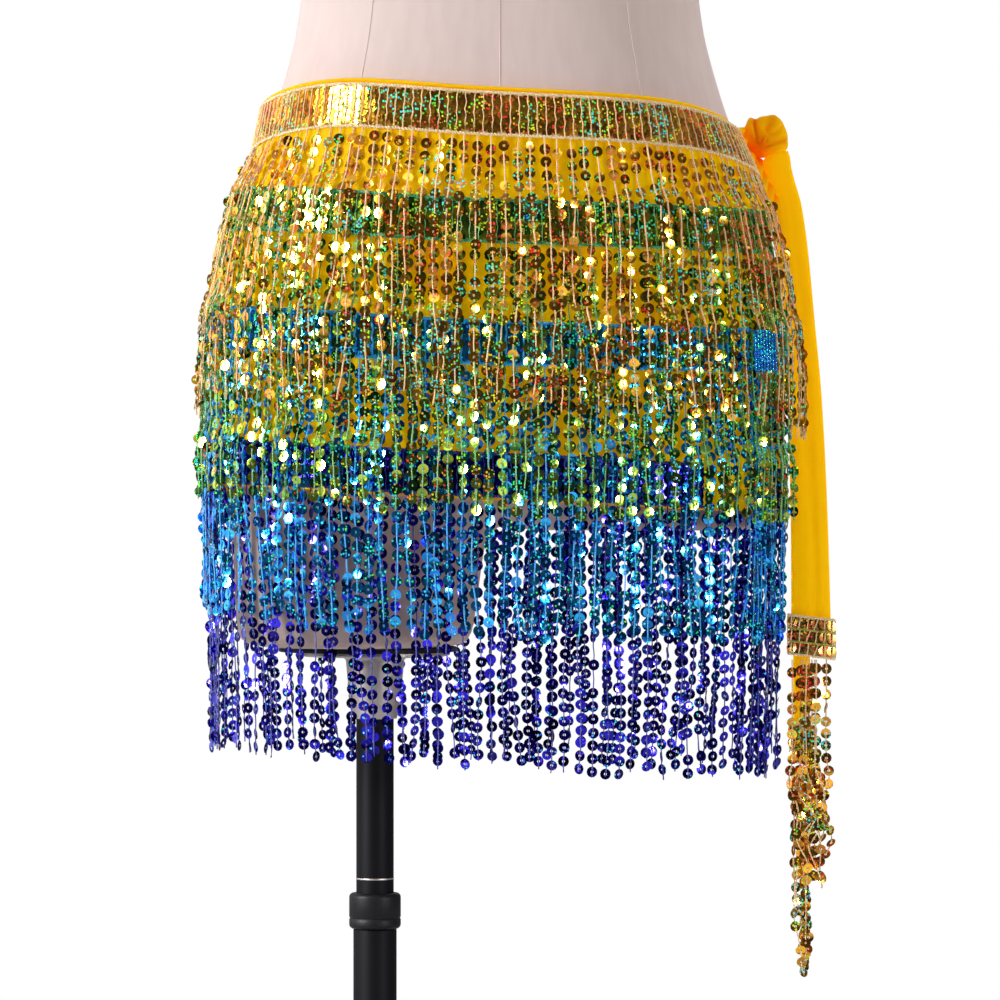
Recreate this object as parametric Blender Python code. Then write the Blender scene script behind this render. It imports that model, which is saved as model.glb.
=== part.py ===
"""A belly dance hip belt with four tiers of sequin fringe, tied round a canvas dress form on a pole stand.

Metres, +Z up. The form faces -Y, and +X is the side where the belt is knotted.
The origin is on the floor, on the pole's axis, under the middle of the base.
"""

import math

import bmesh
import bpy
from mathutils import Vector

# ---- stand -------------------------------------------------------------------------------------------------
BASE_RADIUS = 0.200
BASE_HEIGHT = 0.012
HUB_RADIUS = 0.030
HUB_TOP = 0.040
LOWER_RADIUS = 0.0130
UPPER_RADIUS = 0.01125
TUBE_WALL = 0.0015
RUNNING_GAP = 0.0004          # round each piece that turns or slides in another
COLLAR_RADIUS = 0.0155
COLLAR_BOTTOM = 0.4530
COLLAR_TOP = 0.4745
UPPER_BOTTOM = 0.1250
UPPER_TOP = 0.6050
SOCKET_BOTTOM = 0.5790
FLANGE_BOTTOM = 0.6120
FLANGE_RADIUS = 0.0450
FLANGE_HEIGHT = 0.0060
PLATE_HEIGHT = 0.0025
PLATE_HALF_WIDTH, PLATE_HALF_DEPTH = 0.0535, 0.062
PLATE_X = -0.0045
ROUND_SIDES = 32

# ---- dress form --------------------------------------------------------------------------------------------
BODY_X = 0.075                # the torso's middle stands this far beside the pole
SQUARENESS = 0.90             # 1 is an ellipse, less is fuller at the corners
# height, half width, depth in front of the side seams, depth behind them
TORSO = (
    (0.695, 0.1000, 0.052, 0.066), (0.703, 0.1330, 0.074, 0.090), (0.715, 0.1540, 0.089, 0.110),
    (0.735, 0.1685, 0.099, 0.122), (0.757, 0.1716, 0.103, 0.127), (0.772, 0.1722, 0.105, 0.129),
    (0.806, 0.1706, 0.108, 0.128), (0.842, 0.1672, 0.109, 0.123), (0.866, 0.1628, 0.108, 0.118),
    (0.890, 0.1566, 0.106, 0.113), (0.908, 0.1504, 0.104, 0.109), (0.926, 0.1418, 0.101, 0.104),
    (0.944, 0.1348, 0.098, 0.098), (0.962, 0.1294, 0.094, 0.093), (0.986, 0.1230, 0.089, 0.088),
    (1.010, 0.1194, 0.086, 0.085), (1.030, 0.1185, 0.085, 0.084), (1.060, 0.1210, 0.087, 0.085),
    (1.110, 0.1310, 0.097, 0.090), (1.160, 0.1400, 0.113, 0.094), (1.195, 0.1450, 0.118, 0.096),
    (1.235, 0.1490, 0.114, 0.099), (1.280, 0.1530, 0.098, 0.100), (1.320, 0.1570, 0.084, 0.095),
    (1.346, 0.1580, 0.074, 0.086), (1.364, 0.1520, 0.066, 0.077), (1.379, 0.1310, 0.059, 0.068),
    (1.392, 0.0980, 0.054, 0.061), (1.404, 0.0720, 0.050, 0.056), (1.418, 0.0575, 0.047, 0.052),
    (1.440, 0.0525, 0.046, 0.050), (1.472, 0.0520, 0.046, 0.050), (1.476, 0.0480, 0.042, 0.046),
)
# height, half width, half depth, distance of its middle from the torso's
THIGH = (
    (0.622, 0.0660, 0.076, 0.0872), (0.626, 0.0700, 0.080, 0.0872), (0.632, 0.0712, 0.081, 0.0870),
    (0.660, 0.0740, 0.084, 0.0862), (0.700, 0.0772, 0.088, 0.0838), (0.730, 0.0785, 0.089, 0.0850),
    (0.765, 0.0740, 0.084, 0.0860),
)
SHORT_THIGH_BOTTOM = 0.692    # the thigh on the knot's side is cut off this high
THIGH_BACK = 0.008            # the thighs' middles lie this far behind the side seams
WAIST_HEIGHT = 1.030
FORM_SIDES = 40

# ---- belt --------------------------------------------------------------------------------------------------
# Angles go round the body in degrees: 0 at the knot's side, 90 at the front, 180 and 270 at the far side and back.
PANEL_START, PANEL_END = 16.0, 341.0
WAIST_START = -3.0            # the waistband runs on past the panel's front edge
COLUMNS = 40
# Angle and height of each trim's upper edge. The first is the cloth's own upper edge.
TOP_EDGE = ((-3, .931), (16, .9354), (45, .9437), (90, .949), (132, .956), (180, .947), (270, .939), (341, .931))
GREEN_EDGE = ((-3, .8815), (45, .8812), (90, .884), (135, .8925), (180, .895), (270, .880), (341, .878))
TURQUOISE_EDGE = ((-3, .8130), (45, .8105), (90, .8134), (135, .8220), (180, .8245), (270, .808), (341, .808))
BLUE_EDGE = ((-3, .7320), (45, .7308), (90, .7370), (135, .7440), (180, .7450), (270, .731), (341, .730))
TRIM_HEIGHT = 0.0255
WAIST_MARGIN = 0.0025         # cloth that shows above the gold trim
HEM_MARGIN = 0.0015           # cloth that shows below the blue trim
FRINGE_LENGTH = 0.160
HANG_TAPER = 0.020            # how much narrower the belt gets for each metre below the fullest hip
KNOT_LEAN, FAR_LEAN = 1.0, 0.45   # how far the waistband leans in with the form: fully at the knot, hardly opposite
FOLD_DEPTH = 0.0030
FOLDS_ROUND = 9

SEAM_GAP = 0.0003
CLOTH_IN = 0.0012             # distances outside the form's surface
CLOTH_OUT = 0.0024
TRIM_IN = CLOTH_OUT + SEAM_GAP
TRIM_OUT = TRIM_IN + 0.0015
LANE_THICKNESS = 0.0023
LANE_PITCH = 0.0028
LANE_CHANGE = 0.010           # a fringe moves out a lane over this height, just above the trim it crosses

# ---- knot and tails ----------------------------------------------------------------------------------------
KNOT_CENTRE = (0.1605, 0.0290, 0.9310)     # beside the torso's middle, behind the side seams, above the floor
KNOT_SIZE = (0.0138, 0.0120, 0.0125)
KNOT_LOBES = 5
TIE_THICKNESS = 0.0022
TIE_GAP, TIE_REACH = 0.3, 7.0              # degrees from a trim's end to its tie, and along the tie to under the knot
# distance from the torso's middle, height and width of the front tail where it falls from the knot
FRONT_TAIL = (
    (0.1650, .9130, .0160), (0.1700, .9040, .0185), (0.1738, .8840, .0195), (0.1772, .8540, .0200),
    (0.1800, .8200, .0204), (0.1835, .7820, .0210), (0.1855, .7460, .0216), (0.1868, .7100, .0222),
    (0.1876, .6740, .0230), (0.1884, .6180, .0244),
)
BACK_TAIL = (
    (0.1655, .9080, .0110), (0.1720, .8800, .0120), (0.1765, .8540, .0122), (0.1800, .8200, .0124),
    (0.1830, .7820, .0126), (0.1845, .7460, .0126), (0.1850, .7100, .0126), (0.1845, .6500, .0124),
    (0.1828, .6000, .0096), (0.1824, .5785, .0082), (0.1824, .5530, .0082),
)
FRONT_TAIL_Y, BACK_TAIL_Y = 0.0245, 0.0385
FRONT_TAIL_DEPTH, BACK_TAIL_DEPTH = 0.0070, 0.0060
END_TRIM_HEIGHT = 0.0265
END_TRIM_WALL = 0.0016
FRONT_FRINGE_BOTTOM, BACK_FRINGE_BOTTOM = 0.4770, 0.4230
TAIL_SIDES = 12


# ---- materials ---------------------------------------------------------------------------------------------
def material(name, colour, roughness, metallic=0.0):
    made = bpy.data.materials.new(name)
    made.use_nodes = True
    shader = made.node_tree.nodes["Principled BSDF"]
    shader.inputs["Base Color"].default_value = (*colour, 1.0)
    shader.inputs["Roughness"].default_value = roughness
    shader.inputs["Metallic"].default_value = metallic
    return made


# ---- mesh helpers ------------------------------------------------------------------------------------------
def add_object(name, points, faces, finish, smooth=True):
    """A mesh object of these points and faces, with its normals facing out."""
    mesh = bpy.data.meshes.new(name)
    mesh.from_pydata([tuple(p) for p in points], [], faces)
    work = bmesh.new()
    work.from_mesh(mesh)
    bmesh.ops.recalc_face_normals(work, faces=work.faces)
    work.to_mesh(mesh)
    work.free()
    if smooth:
        mesh.shade_smooth()
        mesh.set_sharp_from_angle(angle=math.radians(40))
    mesh.materials.append(finish)
    made = bpy.data.objects.new(name, mesh)
    bpy.context.scene.collection.objects.link(made)
    return made


def loft(name, rings, finish):
    """A closed solid through rings that have the same number of points, with flat ends."""
    count = len(rings[0])
    points = [p for ring in rings for p in ring]
    faces = [tuple(range(count)), tuple(range(len(points) - count, len(points)))]
    for row in range(len(rings) - 1):
        for i in range(count):
            j = (i + 1) % count
            faces.append((row * count + i, row * count + j, (row + 1) * count + j, (row + 1) * count + i))
    return add_object(name, points, faces, finish)


def sleeve(name, outer, inner, finish):
    """A tube with a wall: outer and inner are lists of rings, from one open end to the other."""
    count, rows = len(outer[0]), len(outer)
    points = [p for ring in outer for p in ring] + [p for ring in inner for p in ring]
    faces = []
    for side in (0, rows * count):
        for row in range(rows - 1):
            for i in range(count):
                j = (i + 1) % count
                low, high = side + row * count, side + (row + 1) * count
                faces.append((low + i, low + j, high + j, high + i))
    for row in (0, rows - 1):
        for i in range(count):
            j = (i + 1) % count
            out_row, in_row = row * count, (rows + row) * count
            faces.append((out_row + i, out_row + j, in_row + j, in_row + i))
    return add_object(name, points, faces, finish)


def wall(name, inner, outer, finish):
    """An open sheet with thickness: inner and outer are grids of points, as lists of rows."""
    rows, columns = len(inner), len(inner[0])
    points = [p for row in inner for p in row] + [p for row in outer for p in row]
    other = rows * columns
    faces = []
    for side in (0, other):
        for r in range(rows - 1):
            for c in range(columns - 1):
                at = side + r * columns + c
                faces.append((at, at + 1, at + columns + 1, at + columns))
    rim = [c for c in range(columns)]
    rim += [r * columns + columns - 1 for r in range(1, rows)]
    rim += [(rows - 1) * columns + c for c in range(columns - 2, -1, -1)]
    rim += [r * columns for r in range(rows - 2, 0, -1)]
    for a, b in zip(rim, rim[1:] + rim[:1]):
        faces.append((a, b, b + other, a + other))
    return add_object(name, points, faces, finish)


def circle(radius, height, sides=ROUND_SIDES):
    return [
        Vector((radius * math.cos(2 * math.pi * i / sides), radius * math.sin(2 * math.pi * i / sides), height))
        for i in range(sides)
    ]


def turned(name, profile, finish):
    """A solid turned about the pole's axis from (radius, height) pairs, bottom to top, with flat ends."""
    return loft(name, [circle(radius, height) for radius, height in profile], finish)


def turned_sleeve(name, outer, inner, finish):
    return sleeve(name, [circle(r, z) for r, z in outer], [circle(r, z) for r, z in inner], finish)


# ---- the body's surface ------------------------------------------------------------------------------------
def between(table, at):
    """The values of a table's rows at a key, on a smooth curve through them. The key is each row's first value."""
    keys = [row[0] for row in table]
    at = min(max(at, keys[0]), keys[-1])
    i = max(k for k in range(len(keys) - 1) if keys[k] <= at)
    span = keys[i + 1] - keys[i]
    t = (at - keys[i]) / span
    found = []
    for column in range(1, len(table[0])):
        def slope(k):
            low, high = max(k - 1, 0), min(k + 1, len(keys) - 1)
            return (table[high][column] - table[low][column]) / (keys[high] - keys[low])

        a, b = table[i][column], table[i + 1][column]
        bend = (2 * t**3 - 3 * t**2 + 1) * a + (3 * t**2 - 2 * t**3) * b
        bend += span * ((t**3 - 2 * t**2 + t) * slope(i) + (t**3 - t**2) * slope(i + 1))
        found.append(bend)
    return found


def rounded(value):
    return math.copysign(abs(value) ** SQUARENESS, value)


def on_ring(angle, height, half_width, front, back, middle_x=BODY_X, middle_y=0.0):
    turn = math.radians(angle)
    depth = front if math.sin(turn) > 0 else back
    return Vector((
        middle_x + half_width * rounded(math.cos(turn)),
        middle_y - depth * rounded(math.sin(turn)),
        height,
    ))


def belt_section(angle, height):
    """Half width, front and back depth of the form where the belt lies on it, or hangs below its fullest ring."""
    seam = top_edge(angle) - WAIST_MARGIN - TRIM_HEIGHT
    if height > seam:
        lean = KNOT_LEAN + (FAR_LEAN - KNOT_LEAN) * (1 - math.cos(math.radians(angle))) / 2
        height = seam + lean * (height - seam)
    hips = [row for row in TORSO if height < row[0] < WAIST_HEIGHT]
    section = between(TORSO, height)
    for k in range(3):
        fullest = max(hips, key=lambda row: row[k + 1])
        hanging = fullest[k + 1] - HANG_TAPER * (fullest[0] - height)
        section[k] = max(section[k], hanging)
    return section


def fold(angle, height):
    """How far the cloth's soft vertical folds stand out, more towards the hem."""
    share = min(max((0.90 - height) / 0.16, 0.0), 1.0)
    return FOLD_DEPTH * share * 0.5 * (1 + math.cos(math.radians(FOLDS_ROUND * angle)))


def belt_point(angle, height, out):
    half_width, front, back = belt_section(angle, height)
    out += fold(angle, height)
    return on_ring(angle, height, half_width + out, front + out, back + out)


# ---- the belt's layers -------------------------------------------------------------------------------------
PANEL_ANGLES = [PANEL_START + (PANEL_END - PANEL_START) * i / COLUMNS for i in range(COLUMNS + 1)]
WAIST_ANGLES = [WAIST_START, WAIST_START + (PANEL_START - WAIST_START) / 2] + PANEL_ANGLES


def top_edge(angle):
    return between(TOP_EDGE, angle)[0]


def gold_top(angle):
    return top_edge(angle) - WAIST_MARGIN


def green_top(angle):
    return between(GREEN_EDGE, angle)[0]


def turquoise_top(angle):
    return between(TURQUOISE_EDGE, angle)[0]


def blue_top(angle):
    return between(BLUE_EDGE, angle)[0]


def hem(angle):
    return blue_top(angle) - TRIM_HEIGHT - HEM_MARGIN


def split(upper, lower, pieces):
    """Row heights, as functions of the angle, that divide the stretch between two edges evenly."""
    return [
        lambda angle, k=k: upper(angle) + (lower(angle) - upper(angle)) * k / pieces for k in range(1, pieces)
    ]


def below(edge, distance):
    return lambda angle: edge(angle) - distance


# Every layer shares these rows, so that the flat faces of one lie flat on the next.
COMMON_ROWS = [top_edge, below(gold_top, TRIM_HEIGHT)]
COMMON_ROWS += split(below(gold_top, TRIM_HEIGHT), green_top, 2) + [green_top, below(green_top, TRIM_HEIGHT)]
COMMON_ROWS += split(below(green_top, TRIM_HEIGHT), turquoise_top, 2)
COMMON_ROWS += [turquoise_top, below(turquoise_top, TRIM_HEIGHT)]
COMMON_ROWS += split(below(turquoise_top, TRIM_HEIGHT), blue_top, 2) + [blue_top, hem]


def layer(name, angles, rows, finish):
    """A wall of the belt. Each row is (height at an angle, inner distance, outer distance)."""
    inner = [[belt_point(a, height(a), near) for a in angles] for height, near, far in rows]
    outer = [[belt_point(a, height(a), far) for a in angles] for height, near, far in rows]
    return wall(name, inner, outer, finish)


def trim(name, angles, upper, finish):
    rows = [(upper, TRIM_IN, TRIM_OUT), (below(upper, TRIM_HEIGHT), TRIM_IN, TRIM_OUT)]
    return layer(name, angles, rows, finish)


def fringe(name, angles, upper, crossed, finish):
    """A curtain of hanging strands as one wall. It moves out a lane at each trim it crosses."""
    start = below(upper, TRIM_HEIGHT + SEAM_GAP)
    end = below(upper, TRIM_HEIGHT + FRINGE_LENGTH)
    middle = (PANEL_START + PANEL_END) / 2
    steps = []
    for lane, edge in enumerate(crossed):
        steps.append((below(edge, -LANE_CHANGE - 0.0015), lane))
        steps.append((below(edge, -0.0015), lane + 1))
    heights = [(start, 0)] + steps + [(end, len(crossed))]
    for row in COMMON_ROWS:
        if not end(middle) + 0.008 < row(middle) < start(middle) - 0.004:
            continue
        if any(abs(row(middle) - step(middle)) < 0.004 for step, _ in steps):
            continue
        lane = max([k + 1 for k, edge in enumerate(crossed) if row(middle) < edge(middle)], default=0)
        heights.append((row, lane))
    heights.sort(key=lambda pair: -pair[0](middle))
    rows = []
    for height, lane in heights:
        near = TRIM_IN + lane * LANE_PITCH
        rows.append((height, near, near + LANE_THICKNESS))
    return layer(name, angles, rows, finish)


def build_belt(finishes):
    cloth_rows = [(row, CLOTH_IN, CLOTH_OUT) for row in COMMON_ROWS]
    layer("skirt_panel", PANEL_ANGLES, cloth_rows, finishes["chiffon"])
    trim("waist_trim_gold", WAIST_ANGLES, gold_top, finishes["gold"])
    trim("trim_green", PANEL_ANGLES, green_top, finishes["green"])
    trim("trim_turquoise", PANEL_ANGLES, turquoise_top, finishes["turquoise"])
    trim("trim_blue", PANEL_ANGLES, blue_top, finishes["blue"])
    fringe("fringe_gold", WAIST_ANGLES, gold_top, [green_top, turquoise_top], finishes["gold"])
    fringe("fringe_green", PANEL_ANGLES, green_top, [turquoise_top, blue_top], finishes["green"])
    fringe("fringe_turquoise", PANEL_ANGLES, turquoise_top, [blue_top], finishes["turquoise"])
    fringe("fringe_blue", PANEL_ANGLES, blue_top, [], finishes["blue"])


# ---- knot, ties and tails ----------------------------------------------------------------------------------
def tail_ring(x, y, height, half_width, half_depth):
    """A flattened loop of cloth, as seen from above."""
    return [
        Vector((
            BODY_X + x + half_width * rounded(math.cos(2 * math.pi * i / TAIL_SIDES)),
            y + half_depth * rounded(math.sin(2 * math.pi * i / TAIL_SIDES)),
            height,
        ))
        for i in range(TAIL_SIDES)
    ]


def build_tail(side, route, y, depth, fringe_bottom, finishes):
    """One end of the tie: its cloth, the gold trim round its end, and the fringe below."""
    x_end, z_end, width_end = route[-1]
    rings = [tail_ring(x, y, z, width / 2, depth / 2) for x, z, width in route]
    loft("tail_" + side, rings, finishes["chiffon"])
    trim_bottom, trim_top = z_end - 0.0040, z_end - 0.0040 + END_TRIM_HEIGHT
    outer, inner = [], []
    for z in (trim_bottom, trim_top):
        room = 2 * SEAM_GAP
        inner.append(tail_ring(x_end, y, z, width_end / 2 + room, depth / 2 + room))
        outer.append(tail_ring(x_end, y, z, width_end / 2 + room + END_TRIM_WALL, depth / 2 + room + END_TRIM_WALL))
    sleeve("tail_trim_" + side, outer, inner, finishes["gold"])
    fringe_top = trim_bottom - SEAM_GAP
    half_width, half_depth = width_end / 2 + END_TRIM_WALL, depth / 2 + END_TRIM_WALL
    shape = ((0.0, 1.0, 1.0), (0.45, 1.0, 1.0), (0.85, 0.85, 1.0), (1.0, 0.45, 0.7))
    drop = fringe_top - fringe_bottom
    rings = [
        tail_ring(x_end, y, fringe_top - share * drop, wide * half_width, deep * half_depth)
        for share, wide, deep in shape
    ]
    loft("tail_fringe_" + side, rings, finishes["gold"])


def build_knot(finish):
    """A soft round knot whose lobes are the folds of the cloth drawn through it."""
    mesh = bpy.data.meshes.new("knot")
    work = bmesh.new()
    bmesh.ops.create_uvsphere(work, u_segments=20, v_segments=12, radius=1.0)
    for vertex in work.verts:
        x, y, z = vertex.co
        turn = math.atan2(z, x)
        swell = 1 + 0.10 * math.cos(KNOT_LOBES * turn + 0.6) * (1 - y * y)
        vertex.co = Vector((x * swell * KNOT_SIZE[0], y * KNOT_SIZE[1], z * swell * KNOT_SIZE[2]))
        vertex.co += Vector((BODY_X, 0, 0)) + Vector(KNOT_CENTRE)
    work.to_mesh(mesh)
    work.free()
    mesh.shade_smooth()
    mesh.materials.append(finish)
    bpy.context.scene.collection.objects.link(bpy.data.objects.new("knot", mesh))


def build_tie(name, angle, step, finish):
    """The stretch of tie from the waistband's end to the knot, gathered as it goes."""
    height = gold_top(max(angle, TOP_EDGE[0][0]))
    reach = 0.5 * (TRIM_IN + TRIM_OUT)
    grid_in, grid_out = [], []
    for share in (0.0, 0.5, 1.0):
        at = angle + step * share
        half = TRIM_HEIGHT / 2 * (1 - 0.45 * share)
        middle = height - TRIM_HEIGHT / 2 + (KNOT_CENTRE[2] - height + TRIM_HEIGHT / 2) * share * 0.6
        low_row, high_row = [], []
        for k in (-1, 0, 1):
            z = middle + k * half
            low_row.append(belt_point(at, z, reach - TIE_THICKNESS / 2))
            high_row.append(belt_point(at, z, reach + TIE_THICKNESS / 2))
        grid_in.append(low_row)
        grid_out.append(high_row)
    return wall(name, grid_in, grid_out, finish)


# ---- form and stand ----------------------------------------------------------------------------------------
def thigh(name, side, bottom, finish):
    """One thigh stump, from its flat cut end up into the torso, as a helper that the torso is joined with."""
    rows = [row for row in THIGH if row[0] > bottom] if bottom > THIGH[0][0] else list(THIGH)
    if bottom > THIGH[0][0]:
        half_width, half_depth, middle = between(THIGH, bottom)
        rows.insert(0, (bottom + 0.004, half_width, half_depth, middle))
        rows.insert(0, (bottom, half_width - 0.004, half_depth - 0.004, middle))
    rings = []
    for z, half_width, half_depth, middle in rows:
        rings.append([
            on_ring(360 * i / FORM_SIDES, z, half_width, half_depth, half_depth, BODY_X + side * middle, THIGH_BACK)
            for i in range(FORM_SIDES)
        ])
    made = loft(name, rings, finish)
    made.hide_render = True
    made.display_type = "WIRE"
    return made


def build_form(finishes):
    canvas = finishes["canvas"]
    rings = [
        [on_ring(360 * i / FORM_SIDES, z, *section) for i in range(FORM_SIDES)]
        for z, *section in TORSO
    ]
    torso = loft("form_body", rings, canvas)
    stumps = (
        thigh("thigh_pole_side", -1, THIGH[0][0], canvas),
        thigh("thigh_knot_side", 1, SHORT_THIGH_BOTTOM, canvas),
    )
    for stump in stumps:
        join = torso.modifiers.new(stump.name, "BOOLEAN")
        join.operation = "UNION"
        join.solver = "EXACT"
        join.object = stump
    bottom = THIGH[0][0] - SEAM_GAP
    plate = [
        [
            on_ring(360 * i / FORM_SIDES, z, PLATE_HALF_WIDTH, PLATE_HALF_DEPTH, PLATE_HALF_DEPTH, PLATE_X, THIGH_BACK)
            for i in range(FORM_SIDES)
        ]
        for z in (bottom - PLATE_HEIGHT, bottom)
    ]
    loft("thigh_plate", plate, finishes["black"])


def build_stand(finishes):
    black, steel = finishes["black"], finishes["steel"]
    turned("base", (
        (BASE_RADIUS - 0.002, 0.0), (BASE_RADIUS, 0.002), (BASE_RADIUS, BASE_HEIGHT - 0.004),
        (BASE_RADIUS - 0.006, BASE_HEIGHT), (HUB_RADIUS + 0.012, BASE_HEIGHT + 0.003),
        (HUB_RADIUS, HUB_TOP - 0.012), (HUB_RADIUS - 0.006, HUB_TOP),
    ), black)
    tube_bottom = HUB_TOP + SEAM_GAP
    lower_bore = UPPER_RADIUS + RUNNING_GAP
    turned_sleeve(
        "pole_lower",
        ((LOWER_RADIUS, tube_bottom), (LOWER_RADIUS, COLLAR_BOTTOM - SEAM_GAP)),
        ((lower_bore, tube_bottom), (lower_bore, COLLAR_BOTTOM - SEAM_GAP)),
        black,
    )
    turned_sleeve(
        "pole_collar",
        (
            (COLLAR_RADIUS - 0.0015, COLLAR_BOTTOM), (COLLAR_RADIUS, COLLAR_BOTTOM + 0.0015),
            (COLLAR_RADIUS, COLLAR_TOP - 0.0030), (COLLAR_RADIUS - 0.0020, COLLAR_TOP),
        ),
        (
            (lower_bore, COLLAR_BOTTOM), (lower_bore, COLLAR_BOTTOM + 0.0015),
            (lower_bore, COLLAR_TOP - 0.0030), (lower_bore, COLLAR_TOP),
        ),
        black,
    )
    turned("pole_upper", ((UPPER_RADIUS, UPPER_BOTTOM), (UPPER_RADIUS, UPPER_TOP)), black)
    socket_bore = UPPER_RADIUS + RUNNING_GAP
    flange_top = THIGH[0][0] - 2 * SEAM_GAP - PLATE_HEIGHT
    profile_out = (
        (socket_bore + 0.0008, SOCKET_BOTTOM), (0.0172, FLANGE_BOTTOM - 0.004), (0.0176, FLANGE_BOTTOM - 0.001),
        (FLANGE_RADIUS - 0.003, flange_top - 0.0045), (FLANGE_RADIUS, flange_top - 0.0010), (FLANGE_RADIUS, flange_top),
    )
    outer = turned("pole_socket", profile_out, steel)
    bore = turned("socket_bore", ((socket_bore, SOCKET_BOTTOM - 0.01), (socket_bore, UPPER_TOP + 0.0008)), steel)
    bore.hide_render = True
    bore.display_type = "WIRE"
    cut = outer.modifiers.new("bore", "BOOLEAN")
    cut.operation = "DIFFERENCE"
    cut.solver = "EXACT"
    cut.object = bore


def main():
    for old in list(bpy.data.objects):
        bpy.data.objects.remove(old)
    finishes = {
        "canvas": material("canvas", (0.80, 0.69, 0.65), 0.85),
        "black": material("black_metal", (0.012, 0.012, 0.018), 0.35, 0.4),
        "steel": material("pale_steel", (0.62, 0.58, 0.56), 0.30, 0.9),
        "chiffon": material("yellow_chiffon", (0.95, 0.58, 0.01), 0.60),
        "gold": material("gold_sequins", (0.72, 0.48, 0.13), 0.20, 0.9),
        "green": material("green_sequins", (0.10, 0.42, 0.16), 0.20, 0.9),
        "turquoise": material("turquoise_sequins", (0.01, 0.33, 0.72), 0.20, 0.9),
        "blue": material("blue_sequins", (0.02, 0.02, 0.38), 0.20, 0.9),
    }
    build_stand(finishes)
    build_form(finishes)
    build_belt(finishes)
    build_knot(finishes["chiffon"])
    build_tie("tie_front", WAIST_START - TIE_GAP, -TIE_REACH, finishes["chiffon"])
    build_tie("tie_back", PANEL_END + TIE_GAP, TIE_REACH, finishes["chiffon"])
    build_tail("front", FRONT_TAIL, FRONT_TAIL_Y, FRONT_TAIL_DEPTH, FRONT_FRINGE_BOTTOM, finishes)
    build_tail("back", BACK_TAIL, BACK_TAIL_Y, BACK_TAIL_DEPTH, BACK_FRINGE_BOTTOM, finishes)


main()
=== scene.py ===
"""The looks of a belly dance hip belt on a canvas dress form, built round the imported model.

Metres, +Z up. The form faces -Y and the belt is knotted at +X. Turns are degrees round the body's upright
axis: 0 is the knot's side, 90 the front, 180 the far side and 270 the back.
"""

import math
import random

import bmesh
import bpy
import numpy as np
from mathutils import Matrix, Vector, noise
from mathutils.bvhtree import BVHTree


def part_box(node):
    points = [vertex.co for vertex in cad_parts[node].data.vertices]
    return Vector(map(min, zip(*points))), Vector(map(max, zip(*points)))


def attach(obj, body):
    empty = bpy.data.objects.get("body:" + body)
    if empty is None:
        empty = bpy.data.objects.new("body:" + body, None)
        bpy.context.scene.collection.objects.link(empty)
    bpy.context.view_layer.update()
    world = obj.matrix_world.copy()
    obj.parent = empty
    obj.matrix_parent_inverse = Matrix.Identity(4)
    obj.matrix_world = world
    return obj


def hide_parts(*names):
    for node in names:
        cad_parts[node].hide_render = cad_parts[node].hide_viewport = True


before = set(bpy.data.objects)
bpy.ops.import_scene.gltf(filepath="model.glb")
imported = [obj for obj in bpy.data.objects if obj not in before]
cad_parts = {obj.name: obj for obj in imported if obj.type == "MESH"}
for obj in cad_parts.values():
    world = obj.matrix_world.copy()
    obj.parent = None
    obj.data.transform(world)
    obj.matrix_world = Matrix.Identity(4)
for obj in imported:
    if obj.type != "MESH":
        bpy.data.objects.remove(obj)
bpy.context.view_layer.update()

MM = 0.001

FORM_LOW, FORM_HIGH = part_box("form_body")
AXIS_X = (FORM_LOW[0] + FORM_HIGH[0]) / 2
UP = Vector((0, 0, 1))

# ---- sizes of the small pieces ----------------------------------------------
SEQUIN_RADIUS = 3.25 * MM
SEQUIN_HOLE = 0.90 * MM
SEQUIN_DISH = 0.11 * MM
SEQUIN_PITCH = 7.5 * MM
STRAND_PITCH = 7.7 * MM
EDGE_TURNS = 12                # degrees from the belt's open edge in which the strands lie double
THREAD_RADIUS = 0.50 * MM
THREAD_STEP = 3.6 * MM
THREAD_TAIL = 6.5 * MM         # how far a thread goes on past its last sequin's middle
BACK_TURNS = (200, 340)        # where the two lowest tiers hang sparser
TRIM_SEQUIN_RADIUS = 3.1 * MM
TRIM_COLUMN = 5.2 * MM
TRIM_ROW = 4.2 * MM
TRIM_THREAD = {"gold": 0.36 * MM, "green": 0.36 * MM, "turquoise": 0.75 * MM, "blue": 0.40 * MM}
TRIM_MARGIN = 2.9 * MM         # from a trim's edge to the middle of its first sequins
TRIM_SEQUIN_HOLE = 0.5 * MM
TRIM_SEQUIN_DISH = 0.05 * MM
STRIP_SHARES = (0.02, 0.25, 0.5, 0.75, 0.98)
ROPE_RADIUS = 0.85 * MM
BEAD_STEP = 2.0 * MM           # along the trims' edge cords
PANEL_COLUMNS, PANEL_ROWS = 220, 40
PANEL_SKIN = 0.45 * MM         # thickness of the thin shell on the panel's solid
PANEL_CREASE = 0.22 * MM       # depth of its creases
FORM_VOXEL = 6.2 * MM
FORM_SMOOTHINGS = 9
SEAM_RADIUS = 0.42 * MM
SEAM_STEP = 6 * MM
SEAM_FOOT, SEAM_HEAD = 90 * MM, 66 * MM    # from the form's two ends to the seams'
SEAM_SPOTS = (0.0, 0.62, -0.62)    # shares of the form's half width, in front and behind


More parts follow.
